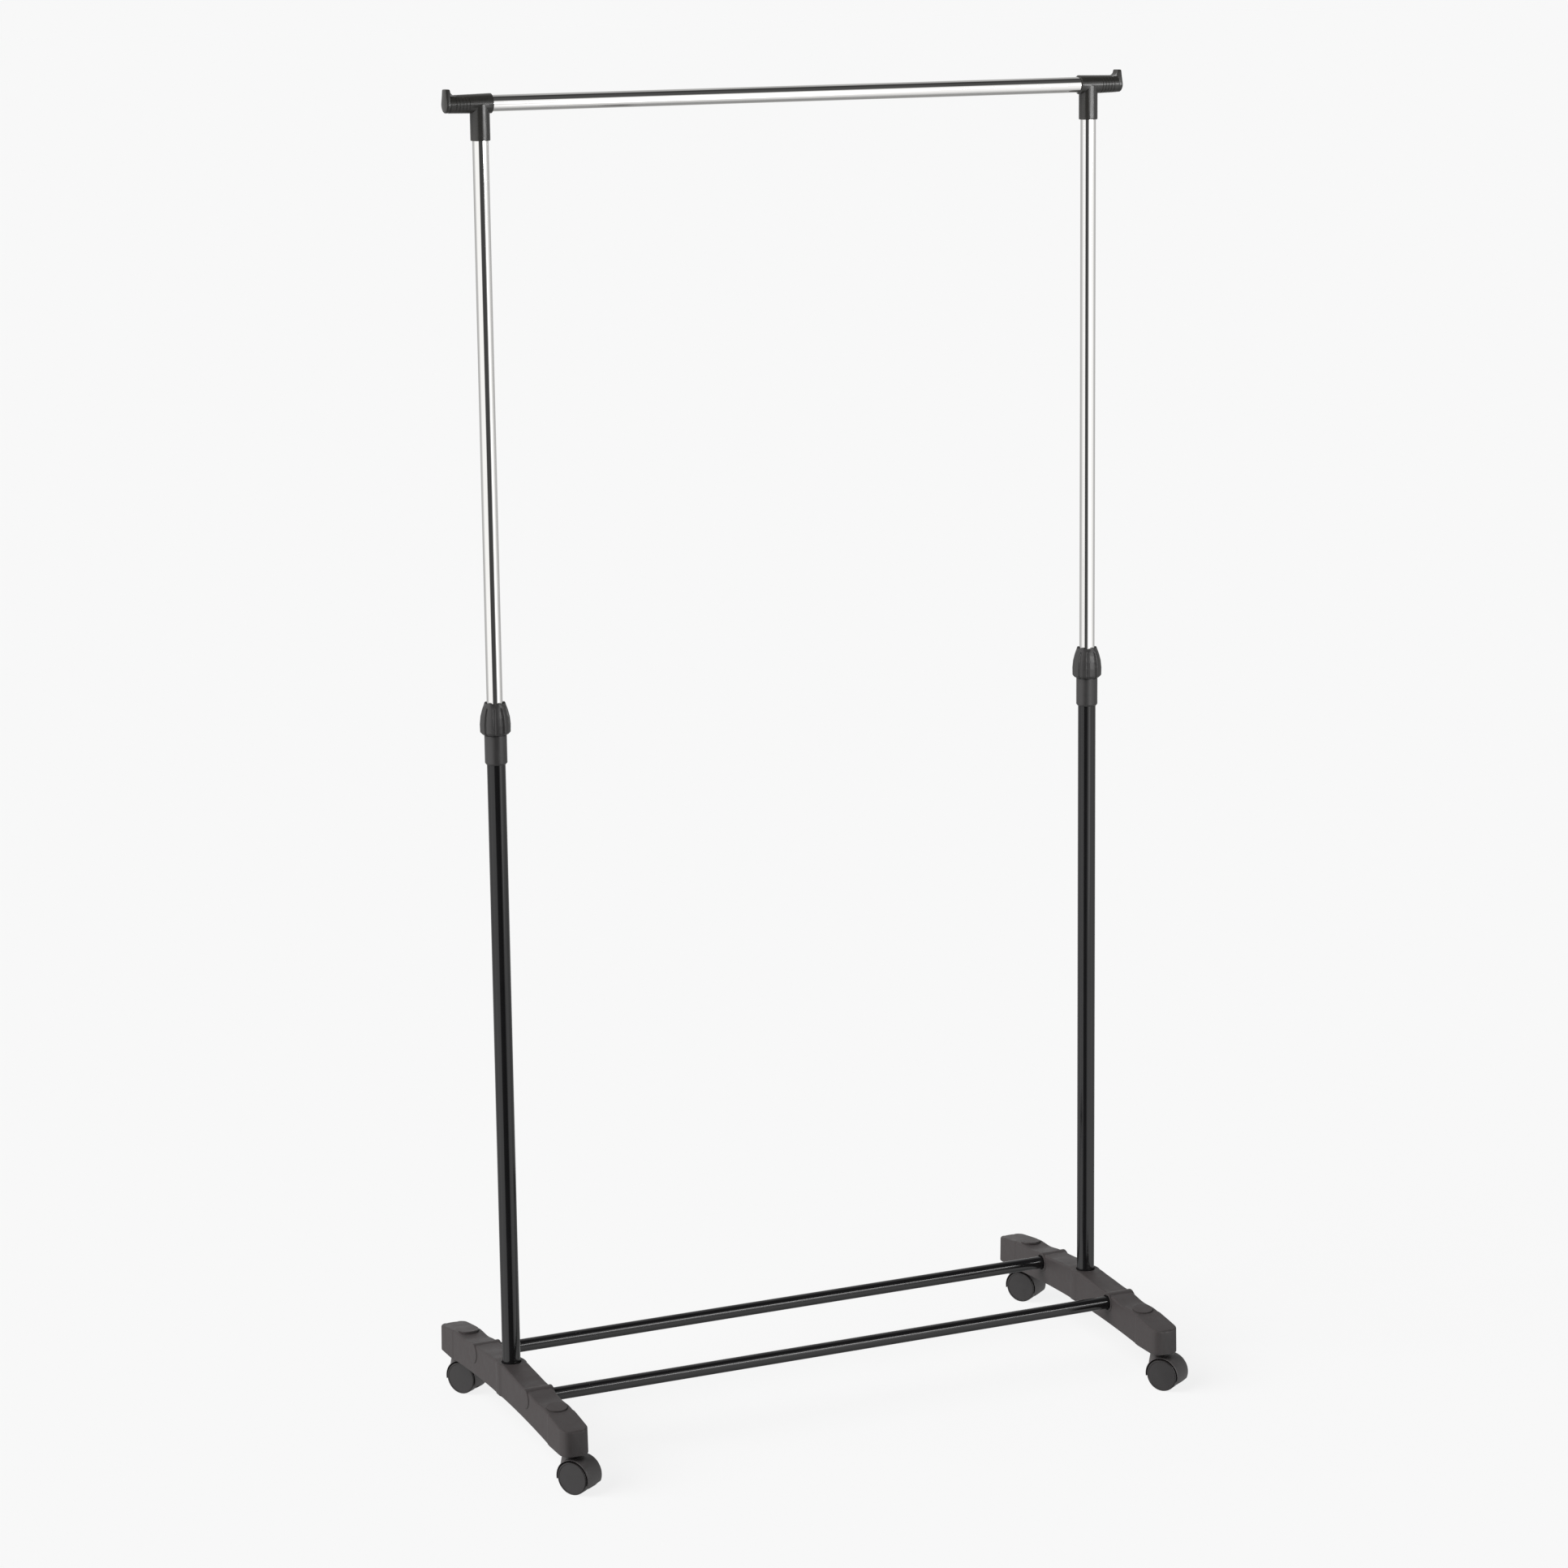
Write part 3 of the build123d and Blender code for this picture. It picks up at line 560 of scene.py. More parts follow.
# %% Lock sleeves
NECK_WALL = 2.8 * MM                      # the threaded neck above the sleeve's shoulder
SEAT_GAP, NECK_GAP = 0.05 * MM, 0.4 * MM  # room round the lower and the upper tube
SHOULDER_GAP = 1.0 * MM                   # the knob ends this far above the shoulder

for side in ("left", "right"):
    node = f"{side}_lock_sleeve"
    low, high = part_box(node)
    outer = (high.x - low.x) / 2
    seat_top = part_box(f"{side}_lower_upright")[1].z
    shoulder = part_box(f"{side}_lock_knob")[0].z - SHOULDER_GAP
    seat = size_of(f"{side}_lower_upright").x / 2 + SEAT_GAP
    bore = size_of(f"{side}_upper_upright").x / 2 + NECK_GAP
    neck = bore + NECK_WALL
    loop = rounded([(seat, low.z, 0.2 * MM), (outer - 1.6 * MM, low.z, 0.4 * MM),
                    (outer, low.z + 2.0 * MM, 0.8 * MM), (outer, shoulder, 0.6 * MM),
                    (neck, shoulder, 0.3 * MM), (neck, high.z, 0.4 * MM), (bore, high.z, 0.3 * MM),
                    (bore, seat_top, 0), (seat, seat_top, 0)])
    mesh = lathe_mesh(node, loop)
    mesh.transform(Matrix.Translation(upright_at(node)))
    attach(finish_mesh(node + "_turned", mesh, satin_abs), "base", "lock_plastic", node)

# %% Geometry Nodes helpers
def tree_with(name, sizes):
    """New geometry tree with a geometry input, named float inputs and a material input."""
    tree = bpy.data.node_groups.new(name, "GeometryNodeTree")
    face = tree.interface
    face.new_socket("Geometry", in_out="INPUT", socket_type="NodeSocketGeometry")
    for label, value in sizes.items():
        face.new_socket(label, in_out="INPUT", socket_type="NodeSocketFloat").default_value = value
    face.new_socket("Material", in_out="INPUT", socket_type="NodeSocketMaterial")
    face.new_socket("Geometry", in_out="OUTPUT", socket_type="NodeSocketGeometry")
    return tree, add(tree, "NodeGroupInput").outputs, add(tree, "NodeGroupOutput")


def finish_tree(tree, geometry, material, out):
    """Every tree ends in real geometry with its material."""
    real = add(tree, "GeometryNodeRealizeInstances", {"Geometry": geometry})
    done = add(tree, "GeometryNodeSetMaterial", {"Geometry": real, "Material": material})
    tree.links.new(done.outputs["Geometry"], out.inputs["Geometry"])
    print(tree.name, "has", len(tree.nodes), "nodes")


def keep_result(piece):
    """Turns what the modifiers make into the piece's own mesh."""
    bpy.context.view_layer.update()
    evaluated = piece.evaluated_get(bpy.context.evaluated_depsgraph_get())
    made = bpy.data.meshes.new_from_object(evaluated)
    piece.modifiers.clear()
    piece.data = made


def run_tree(piece, tree, values, material):
    """Runs a tree on a piece with its inputs set by identifier, and keeps the result as its mesh."""
    modifier = piece.modifiers.new(tree.name, "NODES")
    modifier.node_group = tree
    for item in tree.interface.items_tree:
        if item.in_out == "INPUT" and item.name in values:
            modifier[item.identifier] = values[item.name]
        if item.in_out == "INPUT" and item.name == "Material":
            modifier[item.identifier] = material
    keep_result(piece)


# %% Groove rule as Geometry Nodes
# Widths are shares of the way from one groove to the next. The grooves are shallow above the ribs,
# and every second land between them dips a little at the rim.
BORE_FADE, RIM_FADE = 0.0012, 0.006    # the bore keeps its shape, and the dip stays near the rim
ABOVE_RIBS = 0.25                      # share of the depth that is left above the ribs
SCALLOP_WIDTH = 0.42

groove_tree, sizes, out = tree_with("finger_grooves", {
    "Count": 10.0, "Depth": 1.6 * MM, "Width": 0.2, "Rib Top": 0.03, "Fade": 0.008, "Rim": 0.038,
    "Rim Dip": 2.0 * MM, "Bore": 0.0128})
rule = partial(add, groove_tree)
x, y, z = rule("ShaderNodeSeparateXYZ", {"Vector": rule("GeometryNodeInputPosition")}).outputs
angle = rule(MATH, {0: y, 1: x}, operation="ARCTAN2")
turn = rule(MATH, {0: rule(MATH, {0: angle, 1: sizes["Count"]}, **TIMES), 1: 2 * pi}, operation="DIVIDE")
offset = rule(MATH, {0: turn, 1: 0.5}, operation="PINGPONG")
groove = rule(RAMP, {"Value": offset, "From Min": sizes["Width"], "From Max": 0.0}, **SMOOTH)
level_part = rule("ShaderNodeCombineXYZ", {"X": x, "Y": y})
radius = rule("ShaderNodeVectorMath", {0: level_part}, operation="LENGTH").outputs["Value"]
wall_start = rule(MATH, {0: sizes["Bore"], 1: BORE_FADE}, operation="ADD")
outside = rule(RAMP, {"Value": radius, "From Min": sizes["Bore"], "From Max": wall_start}, **SMOOTH)
fade_end = rule(MATH, {0: sizes["Rib Top"], 1: sizes["Fade"]}, operation="ADD")
below = rule(RAMP, {"Value": z, "From Min": fade_end, "From Max": sizes["Rib Top"], "To Min": ABOVE_RIBS},
             **SMOOTH)
press = rule(MATH, {0: rule(MATH, {0: groove, 1: sizes["Depth"]}, **TIMES),
                    1: rule(MATH, {0: outside, 1: below}, **TIMES)}, **TIMES)
shrink = rule(MATH, {0: press, 1: radius}, operation="DIVIDE")

rim_start = rule(MATH, {0: sizes["Rim"], 1: RIM_FADE}, operation="SUBTRACT")
near_rim = rule(RAMP, {"Value": z, "From Min": rim_start, "From Max": sizes["Rim"]}, **SMOOTH)
half_turn = rule(MATH, {0: turn, 1: 2.0}, operation="DIVIDE")
land = rule(MATH, {0: half_turn, 1: 0.5}, operation="PINGPONG")
scallop = rule(RAMP, {"Value": land, "From Min": SCALLOP_WIDTH, "From Max": 0.0}, **SMOOTH)
dip = rule(MATH, {0: rule(MATH, {0: scallop, 1: near_rim}, **TIMES), 1: sizes["Rim Dip"]}, **TIMES)
inward = [rule(MATH, {0: rule(MATH, {0: way, 1: shrink}, **TIMES), 1: -1.0}, **TIMES) for way in (x, y)]
move = rule("ShaderNodeCombineXYZ", {"X": inward[0], "Y": inward[1],
                                     "Z": rule(MATH, {0: dip, 1: -1.0}, **TIMES)})
pressed = rule("GeometryNodeSetPosition", {"Geometry": sizes["Geometry"], "Offset": move})
finish_tree(groove_tree, pressed, sizes["Material"], out)

# %% Lock knobs
def divided(loop, longest):
    """The same closed outline with long runs split, so that a rule can bend them."""
    points = []
    for here, there in zip(loop, loop[1:] + loop[:1]):
        count = max(1, round((there - here).length / longest))
        points += [here.lerp(there, k / count) for k in range(count)]
    return points


KNOB_NECK_STEP, THREAD_GAP = 0.55 * MM, 0.08 * MM    # the sleeve's neck, and the room round it
RIM_GAP, GROOVE_START, RIB_TOP = 0.5 * MM, 0.6 * MM, 29 * MM
LONGEST_RUN = 0.8 * MM
# Outside from the bottom up, in millimetres: inset from the widest place, height, rounding.
KNOB_OUTSIDE = ((2.8, 0, 0.6), (0.2, 2.8, 1.2), (0, 12, 6), (0.9, 21, 8), (2.8, 28.5, 3))

for side in ("left", "right"):
    node = f"{side}_lock_knob"
    low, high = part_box(node)
    height = high.z - low.z
    widest = (high.y - low.y) / 2
    neck = size_of(f"{side}_lock_sleeve").x / 2 - KNOB_NECK_STEP + THREAD_GAP
    rim_bore = size_of(f"{side}_upper_upright").x / 2 + RIM_GAP
    corners = [(neck, 0, 0.3 * MM)]
    corners += [(widest - inset * MM, up * MM, size * MM) for inset, up, size in KNOB_OUTSIDE]
    corners += [(rim_bore + 2.1 * MM, height, 0.7 * MM), (rim_bore, height, 0.5 * MM),
                (rim_bore, height - 4 * MM, 0), (rim_bore + 1.4 * MM, height - 5.5 * MM, 0),
                (neck, 18 * MM, 0)]
    knob = plain_object("blank", lathe_mesh(node, divided(rounded(corners, 5), LONGEST_RUN), 240))
    run_tree(knob, groove_tree, {"Bore": neck + GROOVE_START, "Rim": height, "Rib Top": RIB_TOP}, satin_abs)
    mesh = knob.data
    bpy.data.objects.remove(knob)
    foot_point = upright_at(node) + Vector((0, 0, low.z))
    mesh.transform(Matrix.Translation(foot_point) @ Matrix.Rotation(-AZIMUTH - pi / 2, 4, "Z"))
    attach(finish_mesh(node + "_fluted", mesh, satin_abs, 50), f"{side}_knob", "lock_plastic", node)

# %% [markdown]
# ## Rail connectors
# A moulded T joins each upright to the rail. Its body tapers towards a square end plate whose
# raised tab stops hangers, and five fine rings run around the outer half. The body and the
# sleeve are turned, the plate is an extruded outline, and Booleans join them and cut the bores,
# as a mould's core pins would. One outline extruded sideways couldn't be round and square at
# once. Geometry Nodes place the rings for the cut, because they repeat.

# %% Joining and cutting
CUT_MERGE = 2e-6      # corners that a cut leaves closer than this are one


def combine(piece, other, operation):
    """Boolean with another closed piece, which is used up."""
    modifier = piece.modifiers.new("combine", "BOOLEAN")
    modifier.operation, modifier.solver, modifier.object = operation, "MANIFOLD", other
    keep_result(piece)
    bpy.data.objects.remove(other)


def pin(name, radius, start, end, axis, steps=96, bevel=0.0):
    """Round solid along an axis between two points, for joining or cutting."""
    length = (end - start).length
    loop = rounded([(0, 0, 0), (radius, 0, bevel), (radius, length, bevel), (0, length, 0)])
    mesh = lathe_mesh(name, loop, steps)
    mesh.transform(basis(axis, start))
    return plain_object(name, mesh)


def finished(piece, material, sharp=32):
    """Takes a combined piece's mesh into a fresh, clean object."""
    name, mesh = piece.name, piece.data
    bpy.data.objects.remove(piece)
    work = bmesh.new()
    work.from_mesh(mesh)
    bmesh.ops.remove_doubles(work, verts=work.verts, dist=CUT_MERGE)
    work.to_mesh(mesh)
    work.free()
    return finish_mesh(name, mesh, material, sharp)


def slab_mesh(name, points):
    """Straight slab between two equal outlines, the second half of the points being the far one."""
    count = len(points) // 2
    sides = [(k, (k + 1) % count, count + (k + 1) % count, count + k) for k in range(count)]
    mesh = bpy.data.meshes.new(name)
    mesh.from_pydata(points, [], [tuple(range(count)), tuple(range(count, 2 * count))] + sides)
    outward(mesh)
    return mesh


print("helpers for joining:", combine.__name__, pin.__name__, finished.__name__, slab_mesh.__name__)

# %% Ring cutter as Geometry Nodes
ring_tree, sizes, out = tree_with("grip_rings", {"Count": 5.0, "Pitch": 4.0 * MM, "Start": 0.0146,
                                                 "Taper": 0.0, "Radius": 0.0108, "Groove": 0.55 * MM})
rule = partial(add, ring_tree)
spots = rule("GeometryNodeMeshLine", {"Count": sizes["Count"],
                                      "Start Location": rule("ShaderNodeCombineXYZ", {"Z": sizes["Start"]}),
                                      "Offset": rule("ShaderNodeCombineXYZ", {"Z": sizes["Pitch"]})})
circle = rule("GeometryNodeCurvePrimitiveCircle", {"Resolution": 96, "Radius": sizes["Radius"]})
section = rule("GeometryNodeCurvePrimitiveCircle", {"Resolution": 12, "Radius": sizes["Groove"]})
torus = rule("GeometryNodeCurveToMesh", {"Curve": circle, "Profile Curve": section})
taper = rule(MATH, {0: rule("GeometryNodeInputIndex"), 1: sizes["Taper"]}, **TIMES)
narrow = rule(MATH, {0: 1.0, 1: taper}, operation="SUBTRACT")
scale = rule("ShaderNodeCombineXYZ", {"X": narrow, "Y": narrow, "Z": 1.0})
copies = rule("GeometryNodeInstanceOnPoints", {"Points": spots, "Instance": torus, "Scale": scale})
finish_tree(ring_tree, copies, sizes["Material"], out)

# %% Connectors
PLATE, TAB_HALF, PLATE_EDGE, RAMP_LENGTH = 6.0 * MM, 5.8 * MM, 1.5 * MM, 7.0 * MM
BODY_TAPER, RING_PITCH, RINGS_FROM = 1.2 * MM, 4.0 * MM, 15.0 * MM
TUBE_GAP = 0.05 * MM


def plate_slab(outer_face, tip, plate_half, rail_z, top):
    """End plate: round below, square above, with the tab that stops hangers."""
    outline = [(plate_half * sin(a), -plate_half * cos(a)) for a in (radians(d) for d in range(-90, 91, 15))]
    outline += [(TAB_HALF + 1.5 * MM, plate_half), (TAB_HALF, top - rail_z), (-TAB_HALF, top - rail_z),
                (-TAB_HALF - 1.5 * MM, plate_half)]
    plate = plain_object("plate", slab_mesh("plate", [(x, y, rail_z + z) for x in (outer_face, tip)
                                                      for y, z in outline]))
    edge = plate.modifiers.new("edge", "BEVEL")
    edge.width, edge.segments, edge.limit_method, edge.angle_limit = PLATE_EDGE, 4, "ANGLE", radians(32)
    keep_result(plate)
    return plate


def ramp_slab(outer_face, sign, end_radius, rail_z):
    """Curved ramp from the body up to the tab."""
    foot, rise = end_radius - 0.6 * MM, 0.8
    sweep = [(outer_face + sign * MM, end_radius - 4 * MM),
             (outer_face - sign * (RAMP_LENGTH + MM), end_radius - 4 * MM)]
    sweep += [(outer_face - sign * RAMP_LENGTH * (1 - sin(a)), foot + RAMP_LENGTH * (1 - cos(a)) * rise)
              for a in (radians(d) for d in range(0, 91, 10))]
    sweep += [(outer_face + sign * MM, foot + RAMP_LENGTH * rise)]
    half = TAB_HALF - 0.6 * MM
    points = [(x, y, rail_z + z) for y in (-half, half) for x, z in sweep]
    return plain_object("ramp", slab_mesh("ramp", points))


rail_low, rail_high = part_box("hang_rail")
rail_z = (rail_low.z + rail_high.z) / 2
for side, sign in (("left", -1), ("right", 1)):
    node = f"{side}_rail_connector"
    low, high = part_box(node)
    upright, tube = upright_at(f"{side}_upper_upright"), size_of(f"{side}_upper_upright").x / 2
    body = (high.y - low.y) / 2
    inboard, tip = (low.x, high.x)[sign < 0], (low.x, high.x)[sign > 0]
    outer_face = tip - sign * PLATE
    start, along = Vector((inboard, upright.y, rail_z)), Vector((sign, 0, 0))
    reach = abs(outer_face - inboard)
    end_radius = body - BODY_TAPER
    loop = rounded([(0, 0, 0), (body, 0, 0.7 * MM), (end_radius, reach + 0.5 * MM, 0),
                    (0, reach + 0.5 * MM, 0)])
    mesh = lathe_mesh(node, loop, 128)
    mesh.transform(basis(along, start))
    connector = plain_object(node + "_moulded", mesh)

    rings_start = abs(upright.x - inboard) + RINGS_FROM
    first_radius = body - BODY_TAPER * rings_start / reach
    rings = plain_object("rings", bpy.data.meshes.new("rings"))
    taper = BODY_TAPER * RING_PITCH / reach / first_radius
    run_tree(rings, ring_tree, {"Start": rings_start, "Radius": first_radius + 0.05 * MM, "Taper": taper},
             polished_abs)
    rings.data.transform(basis(along, start))
    combine(connector, rings, "DIFFERENCE")

    sleeve_end = Vector((upright.x, upright.y, low.z))
    centre = Vector((upright.x, upright.y, rail_z))
    combine(connector, pin("sleeve", body - 0.05 * MM, sleeve_end, centre, Z_AXIS, 128, 0.9 * MM), "UNION")
    combine(connector, plate_slab(outer_face, tip, end_radius - 0.2 * MM, rail_z, high.z), "UNION")
    combine(connector, ramp_slab(outer_face, sign, end_radius, rail_z), "UNION")

    rail_end = Vector(((rail_low.x, rail_high.x)[sign > 0] + sign * MM, upright.y, rail_z))
    bore = tube + TUBE_GAP
    combine(connector, pin("rail_bore", bore, start - along * MM, rail_end, along), "DIFFERENCE")
    tube_top = Vector((upright.x, upright.y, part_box(f"{side}_upper_upright")[1].z))
    below_sleeve = Vector((upright.x, upright.y, low.z - MM))
    combine(connector, pin("upright_bore", bore, below_sleeve, tube_top, Z_AXIS), "DIFFERENCE")
    attach(finished(connector, polished_abs), "upper_frame", "connector_plastic", node)

# %% [markdown]
# ## Feet
# A foot is one moulded bridge: it is highest at the hub, dips, swells over each crossbar, and ends
# in a slightly wider block with rounded upright corners. Its cross-section is always the same
# kind of rounded box, and only its width, height and rounding change along its length, so a few
# curves of those values describe all of it. A subdivided box would need many control points held
# in line, and would soften the sharp start of the end block. Then pins and an inner core are
# joined and cut as in a mould: barrels for the bars, sockets with a sunk ring, and the hollow
# underneath.

# %% Foot sizes along its length
foot_low, foot_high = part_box("left_foot")
FOOT_HALF = (foot_high.y - foot_low.y) / 2
FOOT_BASE, FOOT_TOP = foot_low.z, foot_high.z
HUB_RADIUS = (foot_high.x - foot_low.x) / 2
ARCH_RISE, ARCH_HALF = 8.0 * MM, 168.0 * MM
BLOCK_START, BLOCK_HALF, ARM_HALF, DRAFT = 163 * MM, 17.3 * MM, 16.7 * MM, 0.5 * MM
END_CORNER, END_TOP_ROUND, WALL = 13 * MM, 3 * MM, 3.2 * MM
# Top line in millimetres: distance from the hub, and height against the hub.
TOP_LINE = [(0, 0), (18, 0), (25, -0.7), (45, -2.0), (70, -3.9), (88.6, -4.6), (103, -5.9), (118, -8.2),
            (128, -8.9), (137, -8.6), (150, -8.36), (163, -9.9), (175, -11.4), (188.6, -13.25),
            (200, -14.9), (207, -15.9), (213.5, -17.0)]


def smooth_line(points, value):
    """Smooth curve through (place, height) points."""
    xs, ys = np.array([p[0] for p in points]) * MM, np.array([p[1] for p in points]) * MM
    slopes = np.gradient(ys, xs)
    i = int(np.clip(np.searchsorted(xs, value) - 1, 0, len(xs) - 2))
    step = xs[i + 1] - xs[i]
    t = (value - xs[i]) / step
    return ((2 * t ** 3 - 3 * t ** 2 + 1) * ys[i] + (t ** 3 - 2 * t ** 2 + t) * step * slopes[i]
            + (3 * t ** 2 - 2 * t ** 3) * ys[i + 1] + (t ** 3 - t ** 2) * step * slopes[i + 1])


def soft_max(a, b, width):
    """The larger of two values, with a small fillet where they cross."""
    return (a + b + sqrt((a - b) ** 2 + width ** 2)) / 2


def smooth_step(start, end, value):
    t = min(1.0, max(0.0, (value - start) / (end - start)))
    return t * t * (3 - 2 * t)


def foot_section(y):
    """Half widths above and below, top, underside and top rounding of the foot at y from its middle."""
    place = abs(y)
    block = smooth_step(BLOCK_START - 3 * MM, BLOCK_START + 1 * MM, place)
    width = ARM_HALF + (BLOCK_HALF - ARM_HALF) * block
    if place < HUB_RADIUS:
        width = soft_max(width, sqrt(HUB_RADIUS ** 2 - place ** 2), 0.9 * MM)
        width = min(width, HUB_RADIUS)
    top = FOOT_TOP + smooth_line(TOP_LINE, place)
    into_corner = place - (FOOT_HALF - END_CORNER)
    if into_corner > 0:
        width -= END_CORNER - sqrt(max(0.0, END_CORNER ** 2 - into_corner ** 2))
    into_round = place - (FOOT_HALF - END_TOP_ROUND)
    if into_round > 0:
        top -= END_TOP_ROUND - sqrt(max(0.0, END_TOP_ROUND ** 2 - into_round ** 2))
    underside = FOOT_BASE + ARCH_RISE * max(0.0, 1 - (place / ARCH_HALF) ** 2)
    lower_width = min(HUB_RADIUS, width + DRAFT)
    rounding = min(3.2 * MM - 0.8 * MM * block, 0.8 * width)
    return width, lower_width, top, underside, rounding


print("half widths, top, underside and rounding at the hub, in mm",
      [round(value / MM, 2) for value in foot_section(0.0)])

# %% Foot body
CORE_BELOW, TOP_CROWN = 12 * MM, 0.5 * MM


def section_points(y, centre_x, inset=0.0, open_below=False):
    """Closed cross-section of the foot at y, from the middle of the underside round and back."""
    width, lower_width, top, underside, rounding = foot_section(y)
    width, lower_width, top = width - inset, lower_width - inset, top - inset
    if open_below:
        underside -= CORE_BELOW
    size = min(rounding, 0.9 * width)
    edge = min(0.8 * MM, 0.3 * width)
    half = [(0.0, underside), (lower_width * 0.5, underside), (lower_width - edge, underside)]
    half += [(lower_width - edge * (1 - sin(a)), underside + edge * (1 - cos(a))) for a in (pi / 4, pi / 2)]
    for k in range(1, 9):
        t = k / 9
        half.append((lower_width + (width - lower_width) * t,
                     underside + edge + (top - size - underside - edge) * t))
    half += [(width - size * (1 - cos(a)), top - size + size * sin(a))
             for a in (radians(d) for d in range(0, 91, 15))]
    crown = TOP_CROWN * (inset == 0)
    half += [(width - size - (width - size) * t, top + crown * (t * (2 - t)) - crown)
             for t in (0.25, 0.5, 0.75)]
    loop = half + [(0.0, top)] + [(-x, z) for x, z in reversed(half[1:])]
    return [(centre_x + x, y, z) for x, z in loop]


def stations(limit):
    """Places along the foot, close together where its shape changes fast."""
    places = [limit * k / 110 for k in range(111)]
    places += [HUB_RADIUS * sin(radians(d)) for d in range(0, 91, 5)]
    places += [BLOCK_START + d * MM for d in np.arange(-3, 1.5, 0.5)]
    places += [limit - END_CORNER * (1 - sin(radians(d))) for d in range(0, 90, 6)]
    places += [limit - END_TOP_ROUND * (1 - sin(radians(d))) for d in range(0, 86, 12)]
    places = sorted(p for p in places if p <= limit)
    kept = [places[0]]
    for place in places[1:]:
        if place - kept[-1] > 0.15 * MM:
            kept.append(place)
    return [-p for p in reversed(kept[1:])] + kept


def swept(name, loops):
    """Closed mesh through equal cross-sections, capped at both ends."""
    count = len(loops[0])
    faces = [(n * count + k, n * count + (k + 1) % count, (n + 1) * count + (k + 1) % count,
              (n + 1) * count + k) for n in range(len(loops) - 1) for k in range(count)]
    faces += [tuple(range(count)), tuple(range((len(loops) - 1) * count, len(loops) * count))]
    mesh = bpy.data.meshes.new(name)
    mesh.from_pydata([point for loop in loops for point in loop], [], faces)
    outward(mesh)
    return mesh


# %% Left foot and its barrels
BARREL, BARREL_HALF = 12.2 * MM, 17.8 * MM

foot_x = (foot_low.x + foot_high.x) / 2
bars = {end: middle_of(f"{end}_crossbar") for end in ("front", "rear")}
places = stations(FOOT_HALF)
foot = plain_object("left_foot_moulded", swept("left_foot", [section_points(y, foot_x) for y in places]))
for middle in bars.values():
    barrel_from = Vector((foot_x - BARREL_HALF, middle.y, middle.z))
    barrel_to = Vector((foot_x + BARREL_HALF, middle.y, middle.z))
    combine(foot, pin("barrel", BARREL, barrel_from, barrel_to, X_AXIS, 80, 0.9 * MM), "UNION")
print("foot has", len(places), "cross-sections and", len(foot.data.polygons), "faces")

# %% Hollow under the foot, with the bosses that stay in it
HUB_BOSS, BAR_BOSS, STEM_POST, BOSS_REACH = 14.5 * MM, 11.3 * MM, 9.5 * MM, 30 * MM

inner = [y for y in places if abs(y) < FOOT_HALF - WALL]
core = plain_object("core", swept("core", [section_points(y, foot_x, WALL, True) for y in inner]))
hub_foot, hub_top = Vector((foot_x, 0, 0)), Vector((foot_x, 0, FOOT_TOP))
combine(core, pin("hub", HUB_BOSS, hub_foot, hub_top, Z_AXIS, 64), "DIFFERENCE")
for end, middle in bars.items():
    boss_from = Vector((foot_x - BOSS_REACH, middle.y, middle.z))
    boss_to = Vector((foot_x + BOSS_REACH, middle.y, middle.z))
    combine(core, pin("barrel", BAR_BOSS, boss_from, boss_to, X_AXIS, 64), "DIFFERENCE")
    stem = upright_at(f"{end}_left_caster_stem")
    combine(core, pin("post", STEM_POST, stem, stem + Vector((0, 0, FOOT_TOP)), Z_AXIS, 64), "DIFFERENCE")
combine(foot, core, "DIFFERENCE")
print("hollowed foot has", len(foot.data.polygons), "faces")

# %% Sockets for tubes, bars, stems and caps
SOCKET_GAP, SUNK_DEPTH, SUNK_STEP, RING_STEP, RING_DEPTH = 0.05 * MM, 2.0 * MM, 1.6 * MM, 1.1 * MM, 1.6 * MM
STEM_SOCKET = 6.55 * MM
CAP_PLACE, CAP_DROP, CAP_TILT = 0.150, 8.36 * MM, 6.35       # from the hub, below the top, in degrees
CAP_SEAT, CAP_HOLE, SEAT_DEPTH, HOLE_DEPTH = 12.9 * MM, 10.6 * MM, 1.25 * MM, 9 * MM

above_foot = Vector((foot_x, 0, FOOT_TOP + MM))
tube_radius = size_of("left_lower_upright").x / 2
tube_floor = Vector((foot_x, 0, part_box("left_lower_upright")[0].z))
ring_floor = Vector((foot_x, 0, FOOT_TOP - RING_DEPTH))
combine(foot, pin("upright_socket", tube_radius + SOCKET_GAP, tube_floor, above_foot, Z_AXIS, 96), "DIFFERENCE")
combine(foot, pin("upright_ring", tube_radius + RING_STEP, ring_floor, above_foot, Z_AXIS, 96), "DIFFERENCE")

